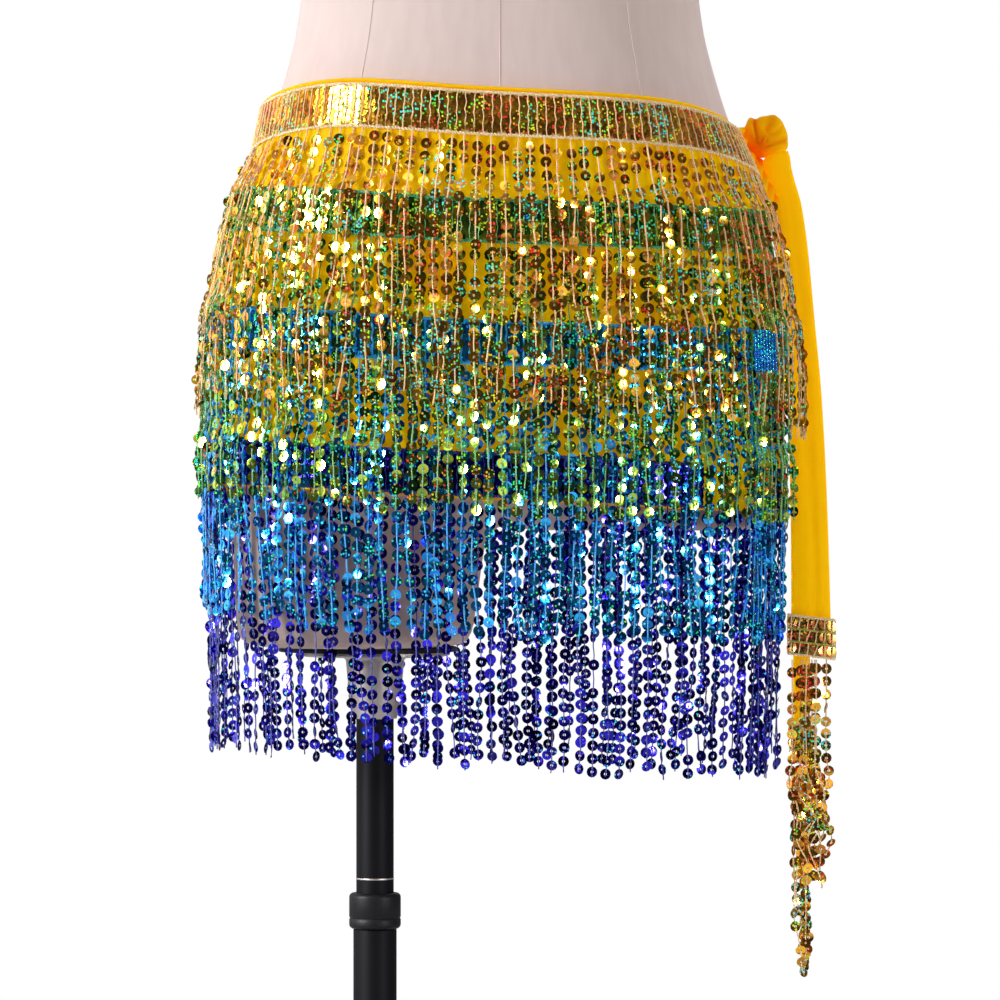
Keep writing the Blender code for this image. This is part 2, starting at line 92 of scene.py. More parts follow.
# ---- mesh helpers -----------------------------------------------------------
def new_mesh(name, points, face_groups):
    """A smooth mesh from an array of points and arrays of faces, one array for each number of corners."""
    mesh = bpy.data.meshes.new(name)
    points = np.asarray(points, np.float32)
    mesh.vertices.add(len(points))
    mesh.vertices.foreach_set("co", points.ravel())
    corners = np.concatenate([np.asarray(group, np.int32).ravel() for group in face_groups])
    sizes = np.concatenate([np.full(len(group), np.shape(group)[1], np.int32) for group in face_groups])
    mesh.loops.add(len(corners))
    mesh.loops.foreach_set("vertex_index", corners)
    mesh.polygons.add(len(sizes))
    starts = np.concatenate([[0], np.cumsum(sizes)[:-1]])
    mesh.polygons.foreach_set("loop_start", starts.astype(np.int32))
    mesh.update(calc_edges=True)
    mesh.validate()
    mesh.shade_smooth()
    return mesh


def add_piece(name, mesh, finish, replaces=()):
    """Puts a mesh in the scene as a piece that rides the one body, with its material."""
    piece = bpy.data.objects.new(name, mesh)
    bpy.context.scene.collection.objects.link(piece)
    mesh.materials.clear()
    mesh.materials.append(finish)
    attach(piece, "root")
    if replaces:
        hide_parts(*replaces)
    return piece


class Collector:
    """Gathers many small shapes into one mesh, with a value of its own for each shape: a random tone for
    sequins, and on cloth the amount of its painted shade.
    """

    def __init__(self):
        self.points, self.tones_and_painted_shades = [], []
        self.faces = {}
        self.count = 0

    def add(self, points, faces, tint=0.5):
        for corners in faces:
            corners = np.asarray(corners)
            self.faces.setdefault(corners.shape[1], []).append(corners + self.count)
        self.points.append(points)
        self.tones_and_painted_shades.append(np.full(len(points), tint, np.float32))
        self.count += len(points)

    def mesh(self, name):
        groups = [np.concatenate(group) for group in self.faces.values()]
        made = new_mesh(name, np.concatenate(self.points), groups)
        attribute = made.attributes.new("tint", "FLOAT", "POINT")
        attribute.data.foreach_set("value", np.concatenate(self.tones_and_painted_shades))
        return made


def grid_faces(rows, columns, closed=False):
    """Quads of a grid of points. A closed grid joins its last column to its first."""
    faces = []
    for r in range(rows - 1):
        here, above = r * columns, (r + 1) * columns
        for c in range(columns if closed else columns - 1):
            n = (c + 1) % columns
            faces.append((here + c, here + n, above + n, above + c))
    return np.array(faces, np.int32)


def end_caps(rows, columns):
    """The two end faces of a closed grid of points."""
    last = (rows - 1) * columns
    return np.array([list(range(columns))[::-1], list(range(last, last + columns))], np.int32)


def shell_faces(rows, columns, order=1):
    """Faces of a thin shell: a grid of outer points, then one of inner points, joined all round the rim."""
    count = rows * columns
    faces = grid_faces(rows, columns)[:, ::order]
    rim = list(range(columns)) + [r * columns + columns - 1 for r in range(1, rows)]
    rim += [(rows - 1) * columns + c for c in range(columns - 2, -1, -1)]
    rim += [r * columns for r in range(rows - 2, 0, -1)]
    sides = [(b, a, a + count, b + count) for a, b in zip(rim, rim[1:] + rim[:1])]
    return np.concatenate([faces, faces[:, ::-1] + count, np.array(sides)[:, ::order]])


def tube(path, radius, sides=4):
    """Points and faces of a closed tube along a path."""
    path = [Vector(p) for p in path]
    rings = []
    for i, here in enumerate(path):
        ahead = (path[min(i + 1, len(path) - 1)] - path[max(i - 1, 0)]).normalized()
        side = UP.cross(ahead)
        if side.length < 0.1:
            side = Vector((1, 0, 0)).cross(ahead)
        side.normalize()
        other = ahead.cross(side)
        for k in range(sides):
            a = 2 * math.pi * (k + 0.5) / sides
            rings.append(here + side * (radius * math.cos(a)) + other * (radius * math.sin(a)))
    faces = grid_faces(len(path), sides, closed=True)
    return np.array([tuple(p) for p in rings]), [faces, end_caps(len(path), sides)]


def frame_matrix(across, up, out):
    """The three directions as the columns of an array."""
    return np.array([tuple(across), tuple(up), tuple(out)]).T


# ---- the belt's walls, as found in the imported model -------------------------
TURN_FIRST = -9               # the belt is open here at every height
TURNS = np.arange(TURN_FIRST, TURN_FIRST + 360)
WALL_STEP = 3 * MM
SMOOTH_TURNS = 5              # the wall's faces are averaged over this many degrees on each side
HALVINGS = 7                  # in the search for an edge between two rays


def direction(turn):
    """The level direction out of the body at a turn."""
    return Vector((math.cos(math.radians(turn)), -math.sin(math.radians(turn)), 0))


class Wall:
    """One wall of the belt: how far its two faces lie from the body's axis, by turn and height."""

    def __init__(self, node):
        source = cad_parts[node]
        points = [source.matrix_world @ v.co for v in source.data.vertices]
        self.tree = BVHTree.FromPolygons(points, [p.vertices for p in source.data.polygons])
        low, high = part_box(node)
        self.heights = np.arange(low[2] + MM / 2, high[2], WALL_STEP)
        table = np.full((2, len(TURNS), len(self.heights)), np.nan)
        for i, turn in enumerate(TURNS):
            for j, z in enumerate(self.heights):
                table[:, i, j] = self.cast(turn, z) or np.nan
        known = ~np.isnan(table[0])
        held = known.any(axis=1)
        full = known.sum(axis=0) >= 0.9 * known.sum(axis=0).max()
        rows = list(zip(known.T, full))
        self.starts = np.array([TURNS[row][0] if good else np.nan for row, good in rows])
        self.ends = np.array([TURNS[row][-1] if good else np.nan for row, good in rows])
        spans = known.sum(axis=1)
        whole = held & (spans >= 0.92 * np.median(spans[held]))
        first, last = np.flatnonzero(whole)[[0, -1]]
        self.tops, self.bottoms = np.full(len(TURNS), np.nan), np.full(len(TURNS), np.nan)
        for i in range(first, last + 1):
            inside = self.heights[known[i]]
            self.tops[i] = self.edge(TURNS[i], inside[-1], WALL_STEP)
            self.bottoms[i] = self.edge(TURNS[i], inside[0], -WALL_STEP)
        table[:, :first] = np.nan
        table[:, last + 1:] = np.nan
        for face in table:
            self.carry_on(face, slope=3)
            self.carry_on(face.T, slope=8)
        for values in (self.tops, self.bottoms):
            self.carry_on(values[None, :], slope=12)
        self.table = self.smoothed(table)
        for values in (self.starts, self.ends):
            good = ~np.isnan(values)
            values[:] = np.interp(self.heights, self.heights[good], values[good])
            values[:] = np.convolve(np.pad(values, 2, mode="edge"), np.ones(5) / 5, mode="valid")
        self.start, self.end = float(self.starts[full].min()), float(self.ends[full].max())

    def cast(self, turn, height):
        """Distances of the wall's inner and outer face, or None beside it."""
        origin = Vector((AXIS_X, 0, height))
        near = self.tree.ray_cast(origin, direction(turn))[3]
        if near is None:
            return None
        far = self.tree.ray_cast(origin + direction(turn) * (near + 0.1 * MM), direction(turn))[3]
        return (near, near + 0.1 * MM + far) if far is not None else None

    def edge(self, turn, inside, step):
        """The height of the wall's edge at a turn, between a height inside it and one a step beyond."""
        beyond = inside + step
        for _ in range(HALVINGS):
            middle = (inside + beyond) / 2
            if self.cast(turn, middle):
                inside = middle
            else:
                beyond = middle
        return inside

    def carry_on(self, lines, slope):
        """Fills the unknown ends of each line, at the rate at which it changes over its last known steps."""
        for line in lines:
            known = np.flatnonzero(~np.isnan(line))
            if not slope < len(known) < len(line):
                continue
            first, last = known[0], known[-1]
            line[first:last + 1] = np.interp(np.arange(first, last + 1), known, line[known])
            rate = (line[first + slope] - line[first]) / slope
            line[:first] = line[first] + rate * np.arange(-first, 0)
            rate = (line[last] - line[last - slope]) / slope
            line[last + 1:] = line[last] + rate * np.arange(1, len(line) - last)

    def limits(self, height):
        """The turns between which the wall lies at a height."""
        first = float(np.interp(height, self.heights, self.starts))
        return first, float(np.interp(height, self.heights, self.ends))

    def smoothed(self, table):
        """The table of distances, averaged over the turns beside each turn."""
        reach = SMOOTH_TURNS
        padded = np.concatenate([table[:, :1]] * reach + [table] + [table[:, -1:]] * reach, axis=1)
        return sum(padded[:, k:k + len(TURNS)] for k in range(2 * reach + 1)) / (2 * reach + 1)

    def top(self, turn):
        return float(np.interp(turn, TURNS, self.tops))

    def bottom(self, turn):
        return float(np.interp(turn, TURNS, self.bottoms))

    def point(self, turn, height, share=1.0, out=0.0):
        """A point on the wall: share 0 is its inner face and 1 its outer one. out is a distance beyond."""
        i = min(max(turn - TURN_FIRST, 0), len(TURNS) - 1.001)
        j = min(max((height - self.heights[0]) / WALL_STEP, 0), len(self.heights) - 1.001)
        i0, j0 = int(i), int(j)
        di, dj = i - i0, j - j0
        patch = self.table[:, i0:i0 + 2, j0:j0 + 2]
        lower = [side[0, 0] * (1 - di) + side[1, 0] * di for side in patch]
        upper = [side[0, 1] * (1 - di) + side[1, 1] * di for side in patch]
        near, far = (low * (1 - dj) + high * dj for low, high in zip(lower, upper))
        radius = near + (far - near) * share + out
        return Vector((AXIS_X, 0, height)) + direction(turn) * radius

    def axes(self, turn, height):
        """Unit vectors along the wall (to the right when seen from outside), up it and out of it."""
        along = self.point(turn - 2, height) - self.point(turn + 2, height)
        along.z = 0
        along.normalize()
        rise = self.point(turn, height + 6 * MM) - self.point(turn, height - 6 * MM)
        rise = (rise - along * rise.dot(along)).normalized()
        return along, rise, along.cross(rise).normalized()

    def along(self, height_at, spacing):
        """Turns at an even spacing along the wall at a height that depends on the turn."""
        turns = np.arange(self.start, self.end + 0.25, 0.5)
        spots = [self.point(t, height_at(t)) for t in turns]
        steps = [0.0] + [(b - a).length for a, b in zip(spots, spots[1:])]
        run = np.cumsum(steps)
        count = int(run[-1] / spacing)
        margin = (run[-1] - count * spacing) / 2
        return [float(t) for t in np.interp(margin + spacing * np.arange(count + 1), run, turns)]


# ---- materials --------------------------------------------------------------
FOIL_CELLS = 700.0             # cells of the hologram pattern in a metre
FOIL_CRINKLE = 0.028           # how far a cell's normal leans
PAINTED_SHADE_LOW, PAINTED_SHADE_HIGH = 0.69, 0.76     # heights between which the form's canvas turns to its painted shade, darker and warmer, standing for the shade of the panel and fringe above


class Graph:
    """A material's node tree, made with short calls."""

    def __init__(self, name):
        self.material = bpy.data.materials.new(name)
        self.material.use_nodes = True
        self.tree = self.material.node_tree
        self.shader = self.tree.nodes["Principled BSDF"]
        self.place = self.tree.nodes.new("ShaderNodeTexCoord").outputs["Object"]

    def node(self, kind, sockets=None, **settings):
        """A new node with its settings made and its sockets fed."""
        made = self.tree.nodes.new(kind)
        for key, value in settings.items():
            setattr(made, key, value)
        for key, value in (sockets or {}).items():
            self.put(made.inputs[key], value)
        return made

    def put(self, socket, value):
        """Links a socket to another's output, or sets it."""
        if isinstance(value, bpy.types.NodeSocket):
            self.tree.links.new(value, socket)
        else:
            socket.default_value = value

    def set(self, **values):
        """Sets the shader's own sockets, named with _ for each space."""
        for key, value in values.items():
            self.put(self.shader.inputs[key.replace("_", " ")], value)

    def math(self, operation, *values):
        made = self.node("ShaderNodeMath", operation=operation)
        for i, value in enumerate(values):
            self.put(made.inputs[i], value)
        return made.outputs[0]

    def mix(self, share, first, second):
        made = self.node("ShaderNodeMix", data_type="RGBA")
        for key, value in ((0, share), (6, first), (7, second)):
            self.put(made.inputs[key], value)
        return made.outputs[2]

    def ramp(self, value, low, high, start=0.0, end=1.0):
        """value mapped from low..high to start..end, held at the ends."""
        made = self.node("ShaderNodeMapRange")
        for i, number in enumerate((value, low, high, start, end)):
            self.put(made.inputs[i], number)
        return made.outputs[0]

    def noise(self, scale, detail=2.0, stretch=None):
        place = self.place
        if stretch:
            place = self.node("ShaderNodeMapping", {"Vector": place, "Scale": stretch}).outputs[0]
        return self.node("ShaderNodeTexNoise", {"Vector": place, "Scale": scale, "Detail": detail}).outputs[0]

    def wave(self, scale, distortion, bands):
        sockets = {"Vector": self.place, "Scale": scale, "Distortion": distortion}
        return self.node("ShaderNodeTexWave", sockets, bands_direction=bands).outputs["Fac"]

    def vector(self, operation, first, second):
        """A vector sum: second is a vector, or the factor of a SCALE."""
        key = "Scale" if operation == "SCALE" else 1
        return self.node("ShaderNodeVectorMath", {0: first, key: second}, operation=operation).outputs[0]

    def cells(self, scale):
        return self.node("ShaderNodeTexVoronoi", {"Vector": self.place, "Scale": scale})

    def bump(self, height, strength, distance):
        made = self.node("ShaderNodeBump", {"Height": height, "Strength": strength, "Distance": distance})
        self.put(self.shader.inputs["Normal"], made.outputs[0])

    def attribute(self, name):
        return self.node("ShaderNodeAttribute", attribute_name=name).outputs["Fac"]


def sequin_finish(name, dark, light, hues, painted_glint_share, roughness=0.07, coat=0.32):
    """Hologram foil: a tinted mirror with small cells, some of which carry a painted glint: a pure colour
    painted in place of the mirror, which also glows a little, standing for the foil's rainbow glints.
    """
    g = Graph(name)
    fine = g.cells(FOIL_CELLS)
    cell = g.node("ShaderNodeSeparateColor", {"Color": fine.outputs["Color"]})
    own = g.math("MULTIPLY", g.attribute("tint"), 0.7)
    shade = g.math("ADD", own, g.math("MULTIPLY", g.noise(45.0), 0.3))
    base = g.mix(g.ramp(shade, 0.25, 0.85), (*dark, 1), (*light, 1))
    drift = g.ramp(g.noise(30.0, 1.0), 0.41, 0.59, hues[0], hues[1])
    jitter = g.math("MULTIPLY", g.math("SUBTRACT", cell.outputs["Green"], 0.5), 0.22)
    hue = g.ramp(g.math("ADD", drift, jitter), 0.0, 0.68, 0.0, 0.68)
    pure = {"Red": hue, "Green": 0.97, "Blue": 1.0}
    painted_glint = g.node("ShaderNodeCombineColor", pure, mode="HSV").outputs[0]
    # painted glints: a share of the cells turn from mirror to a pure painted colour, standing for the foil's
    # rainbow glints
    patch = g.ramp(g.noise(60.0, 2.0), 0.40, 0.60, 0.35, 1.0)
    chosen = g.math("LESS_THAN", cell.outputs["Red"], g.math("MULTIPLY", patch, painted_glint_share))
    painted_glint_mask = g.math("MULTIPLY", chosen, g.ramp(fine.outputs["Distance"], 0.40, 0.55, 1.0, 0.0))
    g.set(Base_Color=g.mix(painted_glint_mask, base, painted_glint), Metallic=g.ramp(painted_glint_mask, 0.0, 1.0, 0.95, 0.1))
    g.set(Roughness=g.ramp(cell.outputs["Blue"], 0, 1, roughness, roughness + 0.12))
    # painted glow: the glint cells glow though they are no lamp
    g.set(Emission_Color=painted_glint, Emission_Strength=g.math("MULTIPLY", painted_glint_mask, 0.25))
    g.shader.inputs["Coat Weight"].default_value = coat
    g.shader.inputs["Coat Roughness"].default_value = 0.06
    offset = g.vector("SUBTRACT", fine.outputs["Color"], (0.5, 0.5, 0.5))
    offset = g.vector("SCALE", offset, FOIL_CRINKLE)
    normal = g.vector("ADD", g.node("ShaderNodeNewGeometry").outputs["Normal"], offset)
    g.set(Normal=g.node("ShaderNodeVectorMath", {0: normal}, operation="NORMALIZE").outputs[0])
    return g.material


def thread_finish(name, low, high, painted_light=0.0):
    """Spun thread. Its emission strength is a painted glow, standing for the light that the foil beside it
    throws on it.
    """
    g = Graph(name)
    ply = g.wave(420.0, 2.0, "DIAGONAL")
    shade = g.math("ADD", g.math("MULTIPLY", g.noise(300.0), 0.6), g.math("MULTIPLY", ply, 0.4))
    colour = g.mix(g.ramp(shade, 0.3, 0.7), (*low, 1), (*high, 1))
    # painted glow: the thread glows in its own colour though it is no lamp
    g.set(Base_Color=colour, Roughness=0.6, Emission_Color=colour, Emission_Strength=painted_light)
    g.shader.inputs["Sheen Weight"].default_value = 0.12
    g.bump(ply, 0.4, 0.2 * MM)
    return g.material


def chiffon_finish(name, painted_light):
    """Thin yellow cloth, painted a deeper red-orange where its mesh's per-point value is high: painted shade
    in folds and hollows. Its emission strength is a painted glow, standing for light that comes through it.
    """
    g = Graph(name)
    weave = g.math("MULTIPLY", g.wave(320.0, 0.6, "X"), g.wave(320.0, 0.6, "Z"))
    cloud = g.noise(30.0, 3.0, stretch=(1.0, 1.0, 0.35))
    shade = g.math("ADD", g.math("MULTIPLY", weave, 0.35), g.math("MULTIPLY", cloud, 0.65))
    # painted shade: where the mesh's per-point value is high, the cloth's colour and glow are painted deeper
    # red-orange, standing for shade in its folds
    deep = g.attribute("tint")
    base = g.mix(g.ramp(shade, 0.25, 0.7), (0.97, 0.51, 0.0, 1), (1.0, 0.64, 0.0, 1))
    g.set(Base_Color=g.mix(deep, base, (0.90, 0.20, 0.0, 1)))
    g.set(Emission_Color=g.mix(deep, (1.0, 0.50, 0.0, 1), (0.80, 0.12, 0.0, 1)))
    g.set(Roughness=g.ramp(weave, 0, 1, 0.6, 0.75))
    g.shader.inputs["Specular IOR Level"].default_value = 0.02
    g.shader.inputs["Subsurface Weight"].default_value = 0.45
    g.shader.inputs["Subsurface Radius"].default_value = (1.0, 0.45, 0.02)
    g.shader.inputs["Subsurface Scale"].default_value = 3.0 * MM
    # painted glow: the cloth glows though it is no lamp, standing for light that comes through it
    g.shader.inputs["Emission Strength"].default_value = painted_light
    g.bump(g.math("ADD", weave, g.math("MULTIPLY", cloud, 2.0)), 0.25, 0.3 * MM)
    return g.material


def canvas_finish():
    """Pale woven canvas over the form, with a darker and warmer painted shade on the thighs, standing for the
    shade that the panel and fringe cast there.
    """
    g = Graph("canvas_weave")
    weave = g.math("MAXIMUM", g.wave(260.0, 1.2, "X"), g.wave(260.0, 1.2, "Z"))
    slub = g.noise(160.0, 3.0, stretch=(1.0, 1.0, 0.12))
    cloud = g.noise(9.0, 3.0)
    shade = g.math("ADD", g.math("MULTIPLY", weave, 0.12), g.math("MULTIPLY", slub, 0.45))
    shade = g.math("ADD", shade, g.math("MULTIPLY", cloud, 0.4))
    above = g.mix(g.ramp(shade, 0.3, 0.72), (0.73, 0.565, 0.525, 1), (0.84, 0.67, 0.63, 1))
    # painted shade: the thighs' canvas colour, darker and warmer, standing for the shade cast by the panel and
    # fringe above them
    below = g.mix(g.ramp(shade, 0.3, 0.72), (0.40, 0.29, 0.25, 1), (0.52, 0.39, 0.34, 1))
    height = g.node("ShaderNodeSeparateXYZ", {"Vector": g.place}).outputs["Z"]
    g.set(Base_Color=g.mix(g.ramp(height, PAINTED_SHADE_LOW, PAINTED_SHADE_HIGH), below, above))
    g.set(Roughness=g.ramp(weave, 0, 1, 0.8, 0.92))
    g.shader.inputs["Sheen Weight"].default_value = 0.2
    g.bump(g.math("ADD", weave, slub), 0.12, 0.3 * MM)
    return g.material


def enamel_finish():
    """Black paint, chipped to bare rusty metal in a few small places."""
    g = Graph("black_enamel")
    spots = g.noise(70.0, 5.0, stretch=(1.0, 1.0, 0.6))
    chip = g.math("MULTIPLY", g.ramp(spots, 0.70, 0.72), g.ramp(g.noise(12.0, 1.0), 0.45, 0.6))
    haze = g.noise(35.0, 4.0, stretch=(1.0, 1.0, 0.15))
    paint = g.mix(haze, (0.003, 0.003, 0.005, 1), (0.009, 0.009, 0.013, 1))
    rust = g.mix(g.noise(400.0), (0.30, 0.12, 0.04, 1), (0.55, 0.38, 0.25, 1))
    g.set(Base_Color=g.mix(chip, paint, rust))
    g.set(Roughness=g.ramp(haze, 0.3, 0.7, 0.46, 0.60))
    g.set(Metallic=g.ramp(chip, 0, 1, 0.0, 0.3))
    g.shader.inputs["Specular IOR Level"].default_value = 0.05
    g.bump(g.math("SUBTRACT", g.math("MULTIPLY", haze, 0.2), chip), 0.3, 0.2 * MM)
    return g.material


def moulded_finish():
    """Black moulded plastic with a fine grain."""
    g = Graph("black_moulded_plastic")
    grain = g.noise(900.0, 2.0)
    haze = g.noise(30.0, 3.0)
    g.set(Base_Color=g.mix(haze, (0.005, 0.005, 0.006, 1), (0.012, 0.012, 0.015, 1)))
    g.set(Roughness=g.ramp(grain, 0.3, 0.7, 0.45, 0.60))
    g.shader.inputs["Specular IOR Level"].default_value = 0.12
    g.bump(grain, 0.15, 0.1 * MM)
    return g.material


def steel_finish():
    """Pale steel, brushed round the pole and slightly stained."""
    g = Graph("pale_brushed_steel")
    brush = g.noise(50.0, 4.0, stretch=(1.0, 1.0, 14.0))
    stain = g.noise(60.0, 3.0)
    g.set(Base_Color=g.mix(stain, (0.30, 0.27, 0.26, 1), (0.52, 0.47, 0.44, 1)))
    g.set(Metallic=g.ramp(stain, 0.2, 0.9, 0.75, 0.5))
    g.set(Roughness=g.ramp(brush, 0.3, 0.7, 0.34, 0.50))
    g.bump(brush, 0.1, 0.05 * MM)
    return g.material


def floor_finish():
    """Pale, nearly white and matte."""
    g = Graph("pale_floor")
    g.set(Base_Color=g.mix(g.noise(6.0, 2.0), (0.93, 0.93, 0.93, 1), (0.96, 0.96, 0.96, 1)))
    g.set(Roughness=0.7)
    return g.material


# ---- dress form -------------------------------------------------------------
def smoothed_form(source):
    """The form's solid as a mesh with its facets smoothed away."""
    work = bmesh.new()
    work.from_mesh(source)
    bmesh.ops.remove_doubles(work, verts=work.verts, dist=0.05 * MM)
    work.to_mesh(source)
    work.free()
    rough = bpy.data.objects.new("form_rough", source)
    bpy.context.scene.collection.objects.link(rough)
    remesh = rough.modifiers.new("remesh", "REMESH")
    remesh.mode = "VOXEL"
    remesh.voxel_size = FORM_VOXEL
    smooth = rough.modifiers.new("smooth", "SMOOTH")
    smooth.factor = 0.5
    smooth.iterations = FORM_SMOOTHINGS
    graph = bpy.context.evaluated_depsgraph_get()
    mesh = bpy.data.meshes.new_from_object(rough.evaluated_get(graph))
    bpy.data.objects.remove(rough)
    mesh.name = "canvas_form"
    mesh.shade_smooth()
    return mesh


def build_form(finish):
    """The canvas form, and the sewn seams that run up it in front and behind."""
    mesh = smoothed_form(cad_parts["form_body"].data.copy())
    form = add_piece("canvas_form", mesh, finish, replaces=["form_body"])

    tree = BVHTree.FromPolygons([v.co for v in mesh.vertices], [p.vertices for p in mesh.polygons])
    seams = Collector()
    heights = np.arange(FORM_LOW[2] + SEAM_FOOT, FORM_HIGH[2] - SEAM_HEAD, SEAM_STEP)
    for side in (-1, 1):
        for share in SEAM_SPOTS:
            path = []
            for height in heights:
                edge = tree.ray_cast(Vector((AXIS_X + 1, 0, height)), Vector((-1, 0, 0)))[0]
                x = AXIS_X + share * (edge.x - AXIS_X)
                path.append(tree.ray_cast(Vector((x, side, height)), Vector((0, -side, 0)))[0])
            seams.add(*tube(path, SEAM_RADIUS, sides=6))
    add_piece("canvas_seams", seams.mesh("canvas_seams"), finish)


# ---- stand ------------------------------------------------------------------
HUB_WALL = 17 * MM             # the base's hub round the outer tube
SOCKET_NECK = 17.5 * MM        # radius of the socket's neck below its flange
RING_SHARE = 0.745             # where the bright ring lies, as a share of the inner tube's length
GROOVE_SHARE = 0.30            # where the collar's groove lies, as a share of its height


def turned_mesh(name, profile, sides=72):
    """A mesh turned about the pole's axis from (radius, height) pairs, closed at both ends by the profile."""
    angles = 2 * math.pi * np.arange(sides) / sides
    cosines, sines = np.cos(angles), np.sin(angles)
    rings = [np.stack([r * cosines, r * sines, np.full(sides, z)], axis=1) for r, z in profile]
    faces = [grid_faces(len(profile), sides, closed=True), end_caps(len(profile), sides)]
    mesh = new_mesh(name, np.concatenate(rings), faces)
    mesh.set_sharp_from_angle(angle=math.radians(35))
    return mesh


def rounded_profile(radius, low, high, edge):
    """A tube's outline with its two rims rounded."""
    bends = [math.radians(a) for a in (0, 22.5, 45, 67.5, 90)]
    lower = [(radius - edge + edge * math.sin(a), low + edge - edge * math.cos(a)) for a in bends]
    upper = [(radius - edge + edge * math.cos(a), high - edge + edge * math.sin(a)) for a in bends]
    return lower + upper


def build_stand(enamel, plastic, steel):
    """The stand's turned pieces, each to its solid's radius and heights, and the thigh plate's finish."""
    def reach(node):
        low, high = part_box(node)
        return high[0], low[2], high[2]

    def turned(name, profile, finish, slot, nodes=(), sides=72):
        add_piece(name, turned_mesh(name, profile, sides), finish, nodes)

    lower_radius = reach("pole_lower")[0]
    upper_radius = reach("pole_upper")[0]

    radius, low, high = reach("base")
    hub = lower_radius + HUB_WALL
    profile = rounded_profile(radius, low, low + 12 * MM, 2.5 * MM)
    profile += [(hub + 14 * MM, low + 12.6 * MM), (hub + 6 * MM, low + 15 * MM), (hub, low + 20 * MM)]
    profile += [(hub - 2 * MM, high - 3 * MM), (hub - 4 * MM, high - 1 * MM), (hub - 7 * MM, high)]
    turned("base_plate", profile, enamel, "black_metal", ["base"], sides=128)

    radius, low, high = reach("pole_lower")
    turned("outer_tube", rounded_profile(radius, low, high, 0.4 * MM), enamel, "black_metal", ["pole_lower"])
    radius, low, high = reach("pole_upper")
    turned("inner_tube", rounded_profile(radius, low, high, 0.3 * MM), enamel, "black_metal", ["pole_upper"])
    line = low + (high - low) * RING_SHARE
    profile = rounded_profile(radius + 0.12 * MM, line, line + 0.9 * MM, 0.1 * MM)
    turned("tube_ring", profile, steel, "pale_steel")

    radius, low, high = reach("pole_collar")
    profile = rounded_profile(radius, low, high, 2.6 * MM)
    groove = low + (high - low) * GROOVE_SHARE
    profile[5:5] = [(radius, groove - 0.8 * MM), (radius - 0.5 * MM, groove), (radius, groove + 0.8 * MM)]
    turned("clamp_collar", profile, plastic, "black_plastic", ["pole_collar"])

    radius, low, high = reach("pole_socket")
    bore = upper_radius + 0.6 * MM
    neck = SOCKET_NECK
    profile = [(bore, low + 1 * MM), (bore + 1.2 * MM, low), (bore + 3.2 * MM, low + 8 * MM)]
    profile += [(neck - 0.6 * MM, high - 12 * MM), (neck, high - 5 * MM), (neck + 1.5 * MM, high - 3.5 * MM)]
    profile += [(radius - 2 * MM, high - 2.6 * MM), (radius, high - 1.6 * MM), (radius, high)]
    turned("socket_flange", profile, steel, "pale_steel", ["pole_socket"])

    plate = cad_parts["thigh_plate"].data
    plate.materials.clear()
    plate.materials.append(plastic)


# ---- the cloth panel --------------------------------------------------------
def build_panel(wall, finish):
    """The yellow wrap as a thin shell on its solid's form, with soft vertical creases and rolled hems."""
    outer, inner = [], []
    for r in range(PANEL_ROWS):
        share = r / (PANEL_ROWS - 1)
        middle = wall.top(90) + (wall.bottom(90) - wall.top(90)) * share
        for turn in np.linspace(*wall.limits(middle), PANEL_COLUMNS):
            height = wall.top(turn) + (wall.bottom(turn) - wall.top(turn)) * share
            crease = noise.noise(Vector((turn * 0.22, height * 9.0, 3.1))) * (0.25 + 0.75 * share)
            crease += 0.5 * noise.noise(Vector((turn * 0.55, height * 14.0, 8.7)))
            sunk = PANEL_CREASE * (1 + crease)
            outer.append(wall.point(turn, height, 1.0, -0.1 * MM - sunk))
            inner.append(wall.point(turn, height, 1.0, -0.1 * MM - PANEL_SKIN - sunk))
    points = [tuple(p) for p in outer + inner]
    mesh = new_mesh("chiffon_panel", points, [shell_faces(PANEL_ROWS, PANEL_COLUMNS)])
    panel = add_piece("chiffon_panel", mesh, finish, ["skirt_panel"])

    hems = Collector()
    edge_turns = np.linspace(wall.start, wall.end, 420)
    for edge, inset, radius in ((wall.top, -0.7 * MM, 1.25 * MM), (wall.bottom, 0.7 * MM, 0.75 * MM)):
        path = [wall.point(t, edge(t) + inset, 0.6) for t in edge_turns]
        hems.add(*tube(path, radius, sides=6), tint=0.0)
    for side, turn in enumerate((wall.start, wall.end)):
        heights = np.linspace(wall.top(turn) - MM, wall.bottom(turn) + MM, 60)
        path = [wall.point(wall.limits(z)[side], z, 0.6) for z in heights]
        hems.add(*tube(path, 0.7 * MM, sides=6), tint=0.0)
    hem = add_piece("rolled_hems", hems.mesh("rolled_hems"), finish)
    return panel, hem


# ---- sequins ----------------------------------------------------------------
def sequin_shape(radius, hole, dish, around=12):
    """A round cupped sequin with a hole, facing +Z: its points, and its faces as triangles and quads."""
    def ring(r, z, count):
        turns = [2 * math.pi * i / count for i in range(count)]
        return [(r * math.cos(a), r * math.sin(a), z) for a in turns]

    half = around // 2
    points = ring(hole, 0.0, half) + ring(radius * 0.68, 0.0, around) + ring(radius, dish, around)
    triangles, quads = [], []
    for i in range(half):
        j = (i + 1) % half
        m = half + 2 * i
        following = half + (2 * i + 2) % around
        triangles += [(i, m, m + 1), (i, m + 1, j), (m + 1, following, j)]
    for i in range(around):
        j = (i + 1) % around
        quads.append((half + i, half + around + i, half + around + j, half + j))
    return np.array(points), [np.array(triangles, np.int32), np.array(quads, np.int32)]


SEQUIN = sequin_shape(SEQUIN_RADIUS, SEQUIN_HOLE, SEQUIN_DISH)
TRIM_SEQUIN = sequin_shape(TRIM_SEQUIN_RADIUS, TRIM_SEQUIN_HOLE, TRIM_SEQUIN_DISH, around=10)


